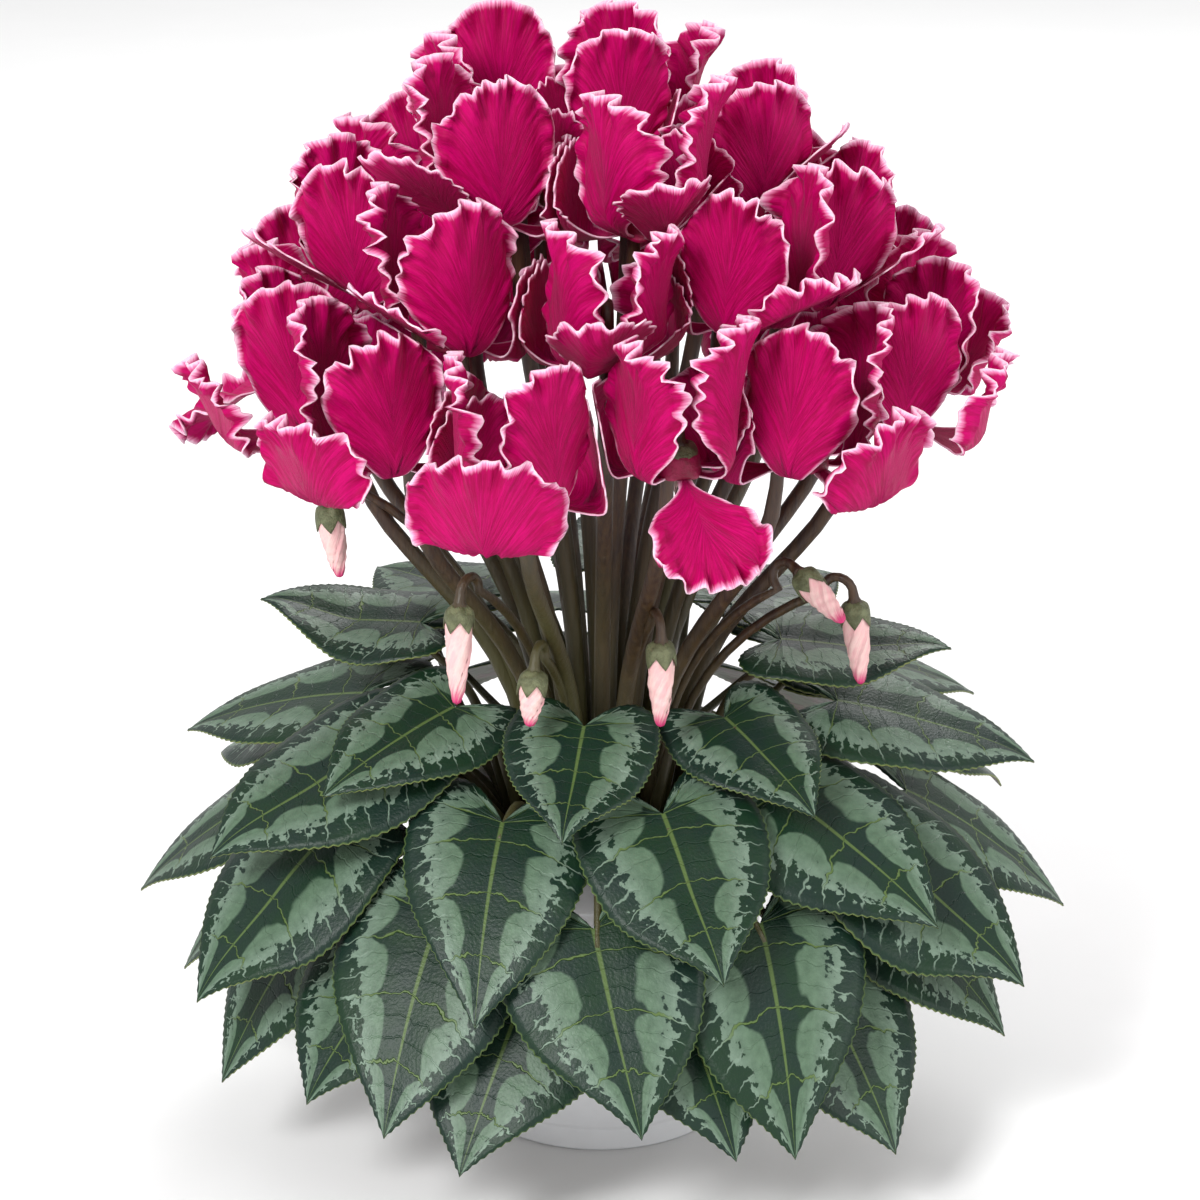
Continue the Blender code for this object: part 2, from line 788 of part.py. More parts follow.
def make_bloom(bloom, blooms, collection):
    """Make a bloom: a short tube with its mouth down, and five petals turned back from it."""
    petals = draw_petals(bloom)
    surface = bmesh.new()
    mouth = tube_ring(bloom, petals, TUBE_MOUTH_RADIUS, -TUBE_LENGTH, surface)
    top = tube_ring(bloom, petals, TUBE_TOP_RADIUS, -PETAL_THICKNESS, surface)
    for index, petal in enumerate(petals):
        after = (index + 1) % len(petals)
        surface.faces.new((top[index], mouth[index], mouth[after]))
        surface.faces.new((top[index], mouth[after], top[after]))
        add_petal(surface, petal, [mouth[index], mouth[after]], bloom, blooms)
    bmesh.ops.recalc_face_normals(surface, faces=surface.faces)
    mesh = bpy.data.meshes.new("bloom")
    surface.to_mesh(mesh)
    surface.free()
    made = add_object(f"bloom_{bloom.number:02d}", mesh, collection)
    solid = made.modifiers.new("Thickness", "SOLIDIFY")
    solid.thickness = PETAL_THICKNESS
    solid.offset = 0.0
    return made


def hook_points(bloom):
    """Give the points of the hook that comes up beside a bloom and ends on the top of it."""
    side = bloom.inward * STEM_SIDE
    middle = bloom.place + bloom.axis * HOOK_RISE + side / 2
    points = [bloom.place + bloom.axis * HOOK_RISE + side]
    points.append(middle + bloom.axis * STEM_SIDE * HOOK_CREST)
    points.append(bloom.place + bloom.axis * HOOK_RISE * HOOK_END)
    points.append(bloom.place + bloom.axis * GAP)
    return points


def make_flower_stem(bloom, collection):
    """Make the stem of a bloom, from the crown to the calyx on top of the bloom's tube."""
    start = bloom.foot + Vector((0.0, 0.0, CORM_CROWN_TOP - 0.003))
    end = bloom.place + bloom.inward * STEM_SIDE - bloom.axis * (TUBE_LENGTH + STEM_TOP)
    reach = (end - start).length
    points = []
    pull_start = start + Vector((0.0, 0.0, reach * STEM_PULL_UP))
    pull_end = end - bloom.axis * reach * STEM_PULL_BACK
    for t in STEM_SHARES:
        low = start * (1 - t) ** 3 + pull_start * 3 * t * (1 - t) ** 2
        high = pull_end * 3 * t**2 * (1 - t) + end * t**3
        points.append(low + high)
    points += hook_points(bloom)
    thin = STEM_RADIUS * HOOK_THINNING
    radii = [STEM_RADIUS] * (len(STEM_SHARES) - 1)
    radii += [(STEM_RADIUS + thin) / 2, thin, thin, thin, TUBE_TOP_RADIUS]
    return tube(f"stem_{bloom.number}", points, radii, 1, collection)


def bud_axis(bud):
    """Give the way that a bud points, from its calyx to its tip."""
    out = Vector((bud.x, bud.y, 0.0)).normalized()
    lean = math.radians(bud.lean)
    return Vector((out.x * math.sin(lean), out.y * math.sin(lean), -math.cos(lean)))


def bud_frame(bud):
    """Give the top of a bud and the way from it back to the stem."""
    out = Vector((bud.x, bud.y, 0.0)).normalized()
    down = bud_axis(bud)
    back = -(out - down * out.dot(down)).normalized()
    top = Vector((bud.x, bud.y, bud.top - BUD_HOOK * 1.6))
    return top, back, down


def make_bud_stem(index, bud, collection):
    """Make the hooked stem of a bud, with the calyx at its end."""
    top, back, down = bud_frame(bud)
    start = polar(CORM_CROWN_RADIUS - 0.0035, math.degrees(math.atan2(bud.y, bud.x)))
    start.z = CORM_CROWN_TOP - 0.003
    rise = BUD_HOOK * 0.8
    side = back * BUD_HOOK * 2
    end = top - down * rise + side
    bend = Vector((start.x * 1.15, start.y * 1.15, start.z + (end.z - start.z) * 0.72))
    points = []
    for t in BUD_STEM_SHARES:
        points.append(start * (1 - t) ** 2 + bend * 2 * t * (1 - t) + end * t**2)
    for angle in BUD_HOOK_ANGLES:
        turn = math.radians(angle)
        middle = top - down * rise + side / 2
        points.append(middle + side / 2 * math.cos(turn) - down * BUD_HOOK * math.sin(turn))
    points.append(top - down * 0.0035)
    points.append(top - down * GAP)
    radii = [BUD_STEM_RADIUS] * (len(points) - 2) + [BUD_STEM_RADIUS * 1.2, BUD_RADIUS]
    return tube(f"bud_stem_{index}", points, radii, 0, collection)


def make_bud(index, bud, collection):
    """Make a bud's furled petals as a twisted spindle that ends in a point."""
    top, back, down = bud_frame(bud)
    sideways = down.cross(back)
    shape = bmesh.new()
    rings = []
    for share, width in BUD_OUTLINE:
        ring = []
        middle = top + down * bud.length * share
        for side in range(BUD_SIDES):
            turn = math.tau * side / BUD_SIDES + BUD_TWIST * share
            arm = back * math.cos(turn) + sideways * math.sin(turn)
            ring.append(shape.verts.new(middle + arm * BUD_RADIUS * width))
        rings.append(ring)
    tip = shape.verts.new(top + down * bud.length)
    for low, high in zip(rings, rings[1:]):
        for i in range(BUD_SIDES):
            j = (i + 1) % BUD_SIDES
            shape.faces.new((low[i], low[j], high[j], high[i]))
    for i in range(BUD_SIDES):
        shape.faces.new((rings[-1][i], rings[-1][(i + 1) % BUD_SIDES], tip))
    shape.faces.new(list(reversed(rings[0])))
    bmesh.ops.recalc_face_normals(shape, faces=shape.faces)
    mesh = bpy.data.meshes.new(f"bud_{index:02d}")
    shape.to_mesh(mesh)
    shape.free()
    return add_object(f"bud_{index:02d}", mesh, collection)


def make_corm(blooms, collection):
    """Make the corm with every flower stem and bud stem that grows out of its crown."""
    pieces = [turned("corm", corm_profile(0.0), CORM_SIDES, collection)]
    for bloom in blooms:
        pieces.append(make_flower_stem(bloom, collection))
    for index, bud in enumerate(BUDS, start=1):
        pieces.append(make_bud_stem(index, bud, collection))
    return fuse("corm_and_stems", pieces, collection)


def finish(obj, material):
    """Give a sub-part its finish and smooth its round faces."""
    obj.data.materials.clear()
    obj.data.materials.append(material)
    obj.data.shade_smooth()
    obj.data.set_sharp_from_angle(angle=math.radians(40))


def main():
    """Build the plant in its pot."""
    clear_scene()
    plant = new_collection("cyclamen_in_pot")
    pot_cutters = new_collection("pot_cutters")
    soil_cutters = new_collection("soil_cutters")
    white = make_material("white_plastic", (0.86, 0.86, 0.85), 0.35)
    earth = make_material("potting_soil", (0.060, 0.040, 0.028), 0.95)
    stalk = make_material("brown_stem", (0.16, 0.09, 0.045), 0.5)
    green = make_material("marbled_leaf", (0.035, 0.095, 0.045), 0.45)
    magenta = make_material("magenta_petal", (0.62, 0.0, 0.15), 0.45)
    blush = make_material("pale_bud", (0.84, 0.52, 0.58), 0.5)
    finish(make_pot(plant, pot_cutters), white)
    finish(make_soil(plant, soil_cutters), earth)
    blooms = draw_blooms()
    finish(make_corm(blooms, plant), stalk)
    for tuft in make_tufts(plant):
        finish(tuft, green)
    for bloom in blooms:
        finish(make_bloom(bloom, blooms, plant), magenta)
    for index, bud in enumerate(BUDS, start=1):
        finish(make_bud(index, bud, plant), blush)


main()
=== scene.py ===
"""Finished look of a florist's cyclamen in its pot: frilled petals, marbled leaves, stems and buds.

Every piece follows the rules of growth of the solid that it stands for, and adds the fine shape
and the colour. Two forms differ from the solids: a flower stem runs up to 5 mm beside its solid
on its way up, and a petal is wider between its claw and its middle.
"""

import logging
import math
import random
from collections.abc import Callable
from dataclasses import dataclass
from enum import Enum

import bpy
import numpy as np
from mathutils import Matrix, Vector, noise


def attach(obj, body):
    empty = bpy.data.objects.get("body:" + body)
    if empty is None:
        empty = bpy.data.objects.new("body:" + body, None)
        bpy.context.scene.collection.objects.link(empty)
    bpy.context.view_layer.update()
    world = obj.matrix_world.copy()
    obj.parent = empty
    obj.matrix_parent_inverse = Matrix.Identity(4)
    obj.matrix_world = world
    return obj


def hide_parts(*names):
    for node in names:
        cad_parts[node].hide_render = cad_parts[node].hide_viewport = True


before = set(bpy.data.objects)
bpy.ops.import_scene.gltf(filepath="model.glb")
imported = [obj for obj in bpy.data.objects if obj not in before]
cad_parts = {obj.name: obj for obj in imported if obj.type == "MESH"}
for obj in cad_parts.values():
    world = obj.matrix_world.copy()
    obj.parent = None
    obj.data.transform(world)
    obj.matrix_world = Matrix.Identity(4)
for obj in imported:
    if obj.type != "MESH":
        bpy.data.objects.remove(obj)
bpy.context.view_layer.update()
BODY = "root"
LOG = logging.getLogger("cyclamen")

# Clearance between pieces that fit into each other, in metres
GAP = 0.0003

# Step of the vein count from one leaf's chart to the next
LEAF_SPAN = 16.0

# Smallest and largest leaf or petal, as a share of the usual one
SIZE_SPREAD = (0.94, 1.06)

Placer = Callable[[np.ndarray, np.ndarray], np.ndarray]


# Small helpers for shapes


def smooth_step(low: float, high: float, value: np.ndarray) -> np.ndarray:
    """Rise smoothly from 0 at low to 1 at high."""
    share = np.clip((value - low) / (high - low), 0.0, 1.0)
    return share * share * (3.0 - 2.0 * share)


def polar(radius: float, azimuth: float, height: float = 0.0) -> Vector:
    """Give a point from its radius, its azimuth in degrees and its height."""
    turn = math.radians(azimuth)
    return Vector((radius * math.cos(turn), radius * math.sin(turn), height))


def start_afresh() -> None:
    """Leave edit mode and deselect everything."""
    if bpy.context.mode != "OBJECT":
        bpy.ops.object.mode_set(mode="OBJECT")
    bpy.ops.object.select_all(action="DESELECT")


def pick(piece: bpy.types.Object) -> None:
    """Select one piece alone and make it the active one."""
    start_afresh()
    piece.select_set(True)
    bpy.context.view_layer.objects.active = piece


def apply_modifiers(piece: bpy.types.Object) -> None:
    """Apply each modifier of a piece in turn."""
    pick(piece)
    for modifier in list(piece.modifiers):
        bpy.ops.object.modifier_apply(modifier=modifier.name)


def weld(piece: bpy.types.Object, distance: float = 0.000002, outwards: bool = False) -> None:
    """Merge the points that meet at seams and poles.

    Args:
        piece: The mesh object to weld.
        distance: Points closer than this become one.
        outwards: Whether to turn the faces of a closed shape outwards.
    """
    pick(piece)
    bpy.ops.object.mode_set(mode="EDIT")
    bpy.ops.mesh.select_all(action="SELECT")
    bpy.ops.mesh.remove_doubles(threshold=distance)
    if outwards:
        bpy.ops.mesh.normals_make_consistent(inside=False)
    bpy.ops.object.mode_set(mode="OBJECT")


def shaped_grid(name: str, columns: int, rows: int, place: Placer, chart: Placer) -> bpy.types.Object:
    """Add a grid and move its points to a shape.

    Args:
        name: Name of the new object.
        columns: Cells along u.
        rows: Cells along v.
        place: Gives the points of the shape from u and v, which run from 0 to 1.
        chart: Gives the map coordinates from u and v.

    Returns:
        The shaped object, with its chart as its UV map.
    """
    start_afresh()
    bpy.ops.mesh.primitive_grid_add(x_subdivisions=columns, y_subdivisions=rows, size=2.0)
    piece = bpy.context.active_object
    piece.name = name
    mesh = piece.data
    flat = np.empty(len(mesh.vertices) * 3)
    mesh.vertices.foreach_get("co", flat)
    flat = flat.reshape(-1, 3)
    u = (flat[:, 0] + 1.0) / 2.0
    v = (flat[:, 1] + 1.0) / 2.0
    mesh.vertices.foreach_set("co", place(u, v).astype(np.float32).ravel())
    corners = np.empty(len(mesh.loops), dtype=np.int64)
    mesh.loops.foreach_get("vertex_index", corners)
    mesh.uv_layers.active.data.foreach_set("uv", chart(u, v)[corners].astype(np.float32).ravel())
    mesh.update()
    return piece


def plain_chart(u: np.ndarray, v: np.ndarray) -> np.ndarray:
    """Chart a grid by u and v themselves."""
    return np.column_stack((u, v))


def thicken(piece: bpy.types.Object, thickness: float, back: int = 0, rim: int = 0) -> None:
    """Give an open sheet its thickness.

    Args:
        piece: The sheet.
        thickness: Its thickness in metres, half to each side.
        back: How many material slots further the back's finish is.
        rim: How many material slots further the rim's finish is.
    """
    shell = piece.modifiers.new("Thickness", "SOLIDIFY")
    shell.thickness = thickness
    shell.offset = 0.0
    shell.material_offset = back
    shell.material_offset_rim = rim
    apply_modifiers(piece)


def dress(piece: bpy.types.Object, finishes: list[bpy.types.Material]) -> None:
    """Give a piece its finishes, the first one on all its faces."""
    piece.data.materials.clear()
    for finish in finishes:
        piece.data.materials.append(finish)


def join(name: str, pieces: list[bpy.types.Object]) -> bpy.types.Object:
    """Join pieces into one object and shade it smooth."""
    start_afresh()
    for piece in pieces:
        piece.select_set(True)
    bpy.context.view_layer.objects.active = pieces[0]
    bpy.ops.object.join()
    made = bpy.context.active_object
    made.name = name
    made.data.name = name
    bpy.ops.object.shade_smooth()
    return made


def hand_over(piece: bpy.types.Object, nodes: list[str]) -> None:
    """Fix a finished piece to the plant's body and the nodes that it stands for."""
    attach(piece, BODY)
    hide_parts(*nodes)
    LOG.info("%s: %d faces", piece.name, len(piece.data.polygons))


def tube_along(
    name: str, points: list[Vector], radii: list[float], sides: int, finish: bpy.types.Material
) -> bpy.types.Object:
    """Make a round tube with closed ends along a path.

    Args:
        name: Name of the new object.
        points: The path.
        radii: The tube's radius at each point.
        sides: Faces around the tube, an even number.
        finish: The tube's finish.

    Returns:
        The tube as a mesh object at the origin.
    """
    start_afresh()
    bpy.ops.curve.primitive_nurbs_path_add()
    piece = bpy.context.active_object
    piece.name = name
    curve = piece.data
    curve.splines.clear()
    spline = curve.splines.new("POLY")
    spline.points.add(len(points) - 1)
    for knot, point, radius in zip(spline.points, points, radii):
        knot.co = (*point, 1.0)
        knot.radius = radius
    curve.bevel_depth = 1.0
    curve.bevel_resolution = sides // 2 - 2
    curve.use_fill_caps = True
    bpy.ops.object.convert(target="MESH")
    piece = bpy.context.active_object
    dress(piece, [finish])
    weld(piece, 0.000001)
    return piece


def smooth_path(points: list[Vector], steps: int) -> list[Vector]:
    """Run a smooth curve through points, with some steps from each point to the next."""
    path = []
    last = len(points) - 1
    for index in range(last):
        before = points[max(index - 1, 0)]
        here = points[index]
        after = points[index + 1]
        beyond = points[min(index + 2, last)]
        for step in range(steps):
            t = step / steps
            square = 2 * before - 5 * here + 4 * after - beyond
            cube = 3 * here - before - 3 * after + beyond
            path.append(0.5 * (2 * here + (after - before) * t + square * t**2 + cube * t**3))
    return path + [points[-1]]


# Finishes


class Sketch:
    """A node tree with a short method for each kind of node that the finishes use."""

    def __init__(self, tree: bpy.types.NodeTree) -> None:
        """Keep the tree that the nodes go into."""
        self.tree = tree

    def add(self, kind: str) -> bpy.types.Node:
        """Add a node of a kind."""
        return self.tree.nodes.new(kind)

    def feed(self, value: object, socket: bpy.types.NodeSocket) -> None:
        """Link another node's output to a socket, or set the socket to a plain value."""
        if isinstance(value, bpy.types.NodeSocket):
            self.tree.links.new(value, socket)
        else:
            socket.default_value = value

    def math(self, operation: str, first: object, second: object = 0.0) -> bpy.types.NodeSocket:
        """Work out one operation on two numbers."""
        node = self.add("ShaderNodeMath")
        node.operation = operation
        self.feed(first, node.inputs[0])
        self.feed(second, node.inputs[1])
        return node.outputs[0]

    def plus(self, first: object, second: object) -> bpy.types.NodeSocket:
        """Add two numbers."""
        return self.math("ADD", first, second)

    def minus(self, first: object, second: object) -> bpy.types.NodeSocket:
        """Subtract the second number from the first."""
        return self.math("SUBTRACT", first, second)

    def times(self, first: object, second: object) -> bpy.types.NodeSocket:
        """Multiply two numbers."""
        return self.math("MULTIPLY", first, second)

    def rise(self, value: object, low: object, high: object) -> bpy.types.NodeSocket:
        """Rise smoothly from 0 at low to 1 at high."""
        node = self.add("ShaderNodeMapRange")
        node.interpolation_type = "SMOOTHSTEP"
        self.feed(value, node.inputs["Value"])
        self.feed(low, node.inputs["From Min"])
        self.feed(high, node.inputs["From Max"])
        return node.outputs["Result"]

    def spread(self, value: object, low: float, high: float) -> bpy.types.NodeSocket:
        """Stretch a value from 0..1 to low..high."""
        node = self.add("ShaderNodeMapRange")
        self.feed(value, node.inputs["Value"])
        node.inputs["To Min"].default_value = low
        node.inputs["To Max"].default_value = high
        return node.outputs["Result"]

    def mix(self, share: object, first: object, second: object) -> bpy.types.NodeSocket:
        """Mix two colours."""
        node = self.add("ShaderNodeMix")
        node.data_type = "RGBA"
        self.feed(share, node.inputs["Factor"])
        self.feed(first, node.inputs[6])
        self.feed(second, node.inputs[7])
        return node.outputs[2]

    def scaled(self, vector: bpy.types.NodeSocket, scale: tuple) -> bpy.types.NodeSocket:
        """Stretch coordinates."""
        node = self.add("ShaderNodeMapping")
        self.feed(vector, node.inputs["Vector"])
        node.inputs["Scale"].default_value = scale
        return node.outputs["Vector"]

    def noise(self, vector: bpy.types.NodeSocket, scale: float, detail: float) -> bpy.types.NodeSocket:
        """Give soft noise from 0 to 1."""
        node = self.add("ShaderNodeTexNoise")
        self.feed(vector, node.inputs["Vector"])
        node.inputs["Scale"].default_value = scale
        node.inputs["Detail"].default_value = detail
        return node.outputs["Fac"]

    def grain(self, vector: bpy.types.NodeSocket, scale: tuple, detail: float) -> bpy.types.NodeSocket:
        """Give soft noise over stretched coordinates."""
        return self.noise(self.scaled(vector, scale), 1.0, detail)

    def chart(self) -> bpy.types.NodeSocket:
        """Give the piece's own map coordinates."""
        node = self.add("ShaderNodeUVMap")
        node.uv_map = "UVMap"
        return node.outputs["UV"]

    def place(self) -> bpy.types.NodeSocket:
        """Give the place on the object."""
        return self.add("ShaderNodeTexCoord").outputs["Object"]

    def parts(self, vector: bpy.types.NodeSocket) -> bpy.types.Node:
        """Split a vector."""
        node = self.add("ShaderNodeSeparateXYZ")
        self.feed(vector, node.inputs[0])
        return node

    def group(self, tree: bpy.types.NodeTree, **inputs: object) -> bpy.types.Node:
        """Place a shared effect, with the values of its named inputs."""
        node = self.add("ShaderNodeGroup")
        node.node_tree = tree
        for name, value in inputs.items():
            self.feed(value, node.inputs[name])
        return node


def new_group(name: str, inputs: dict[str, str], outputs: dict[str, str]) -> bpy.types.NodeTree:
    """Make an empty shared effect.

    Args:
        name: Name of the effect.
        inputs: The kind of socket by its name.
        outputs: The kind of socket by its name.

    Returns:
        The node group, with its input and output nodes in it.
    """
    tree = bpy.data.node_groups.new(name, "ShaderNodeTree")
    for label, kind in inputs.items():
        tree.interface.new_socket(label, in_out="INPUT", socket_type=kind)
    for label, kind in outputs.items():
        tree.interface.new_socket(label, in_out="OUTPUT", socket_type=kind)
    tree.nodes.new("NodeGroupInput")
    tree.nodes.new("NodeGroupOutput")
    return tree


def mottle_group() -> bpy.types.NodeTree:
    """Make the soft mottling that every living surface has: two colours mixed by two noises."""
    tree = new_group(
        "mottle",
        {"Place": "NodeSocketVector", "First": "NodeSocketColor", "Second": "NodeSocketColor"},
        {"Colour": "NodeSocketColor", "Mask": "NodeSocketFloat"},
    )
    sketch = Sketch(tree)
    given = tree.nodes["Group Input"].outputs
    broad = sketch.noise(given["Place"], 1.0, 2.0)
    fine = sketch.noise(given["Place"], 6.0, 3.0)
    mask = sketch.rise(sketch.plus(sketch.times(broad, 0.7), sketch.times(fine, 0.3)), 0.35, 0.65)
    result = tree.nodes["Group Output"].inputs
    sketch.feed(sketch.mix(mask, given["First"], given["Second"]), result["Colour"])
    sketch.feed(mask, result["Mask"])
    return tree


def new_finish(name: str, roughness: float) -> tuple[bpy.types.Material, Sketch, bpy.types.Node]:
    """Make a material and give it with its sketch and its shader."""
    made = bpy.data.materials.new(name)
    made.use_nodes = True
    shader = made.node_tree.nodes["Principled BSDF"]
    shader.inputs["Roughness"].default_value = roughness
    return made, Sketch(made.node_tree), shader


def add_relief(sketch: Sketch, shader: bpy.types.Node, height: bpy.types.NodeSocket, depth: float) -> None:
    """Give a shader a relief from a height, which is depth metres deep."""
    bump = sketch.add("ShaderNodeBump")
    bump.inputs["Distance"].default_value = depth
    bump.inputs["Strength"].default_value = 1.0
    sketch.feed(height, bump.inputs["Height"])
    sketch.feed(bump.outputs["Normal"], shader.inputs["Normal"])


@dataclass(frozen=True)
class PetalFinish:
    """Satin petal: magenta with fine veins, and a pale margin that is streaked inwards.

    The chart's x runs along the petal's edge and its y is the distance to the edge, in centimetres.
    """

    name: str = "magenta_petal"
    body: tuple = (0.520, 0.0, 0.125, 1.0)
    deep: tuple = (0.330, 0.0, 0.062, 1.0)
    margin: tuple = (0.78, 0.24, 0.44, 1.0)
    pale: tuple = (0.92, 0.58, 0.72, 1.0)
    margin_width: float = 0.34
    streak_pace: float = 11.0
    streak_reach: float = 0.42
    blotch_reach: float = 0.16
    reach_share: float = 1.5
    margin_full: float = 0.25
    pale_share: float = 0.45
    sheen: float = 0.04
    specular: float = 0.10
    relief: float = 0.0004

    def make(self, mottle: bpy.types.NodeTree) -> bpy.types.Material:
        """Make the material."""
        made, sketch, shader = new_finish(self.name, 0.55)
        chart = sketch.chart()
        distance = sketch.parts(chart).outputs["Y"]
        streaks = sketch.grain(chart, (self.streak_pace, 0.9, 1.0), 3.0)
        blotches = sketch.noise(chart, 1.6, 1.0)
        streaked = sketch.spread(streaks, -self.streak_reach, self.streak_reach)
        blotched = sketch.spread(blotches, -self.blotch_reach, self.blotch_reach)
        width = self.margin_width
        edge = sketch.plus(distance, sketch.times(sketch.plus(streaked, blotched), width * self.reach_share))
        spots = sketch.scaled(chart, (5.0, 0.6, 1.0))
        magenta = sketch.group(mottle, Place=spots, First=self.body, Second=self.deep)
        veins = sketch.rise(streaks, 0.30, 0.46)
        veined = sketch.mix(sketch.minus(1.0, veins), magenta.outputs["Colour"], self.deep)
        pink = sketch.mix(sketch.rise(edge, width, width * self.margin_full), veined, self.margin)
        rim = sketch.mix(sketch.rise(edge, width * self.pale_share, 0.0), pink, self.pale)
        sketch.feed(rim, shader.inputs["Base Color"])
        shader.inputs["Sheen Weight"].default_value = self.sheen
        shader.inputs["Sheen Roughness"].default_value = 0.4
        shader.inputs["Specular IOR Level"].default_value = self.specular
        add_relief(sketch, shader, streaks, self.relief)
        return made


@dataclass(frozen=True)
class PlainFinish:
    """A finish whose two colours are mottled together over the object's own place."""

    name: str
    first: tuple
    second: tuple
    roughness: float
    scale: float
    depth: float

    def make(self, mottle: bpy.types.NodeTree) -> bpy.types.Material:
        """Make the material."""
        made, sketch, shader = new_finish(self.name, self.roughness)
        place = sketch.scaled(sketch.place(), (self.scale,) * 3)
        effect = sketch.group(mottle, Place=place, First=self.first, Second=self.second)
        sketch.feed(effect.outputs["Colour"], shader.inputs["Base Color"])
        add_relief(sketch, shader, effect.outputs["Mask"], self.depth)
        return made


@dataclass(frozen=True)
class StemFinish:
    """Waxy stem, olive green low down and reddish brown above, unlike from stem to stem."""

    name: str = "brown_stem"
    olive: tuple = (0.062, 0.058, 0.018, 1.0)
    brown: tuple = (0.066, 0.030, 0.012, 1.0)
    dark: tuple = (0.030, 0.009, 0.006, 1.0)
    green_below: float = 0.13
    brown_above: float = 0.27
    blend_shift: float = 0.10

    def make(self, mottle: bpy.types.NodeTree) -> bpy.types.Material:
        """Make the material."""
        made, sketch, shader = new_finish(self.name, 0.42)
        place = sketch.place()
        height = sketch.parts(place).outputs["Z"]
        which = sketch.grain(place, (26.0, 26.0, 2.0), 1.0)
        level = sketch.plus(height, sketch.spread(which, -self.blend_shift, self.blend_shift))
        blend = sketch.rise(level, self.green_below, self.brown_above)
        ribs = sketch.scaled(place, (500.0, 500.0, 18.0))
        brown = sketch.group(mottle, Place=ribs, First=self.brown, Second=self.dark)
        sketch.feed(sketch.mix(blend, self.olive, brown.outputs["Colour"]), shader.inputs["Base Color"])
        add_relief(sketch, shader, brown.outputs["Mask"], 0.00015)
        return made


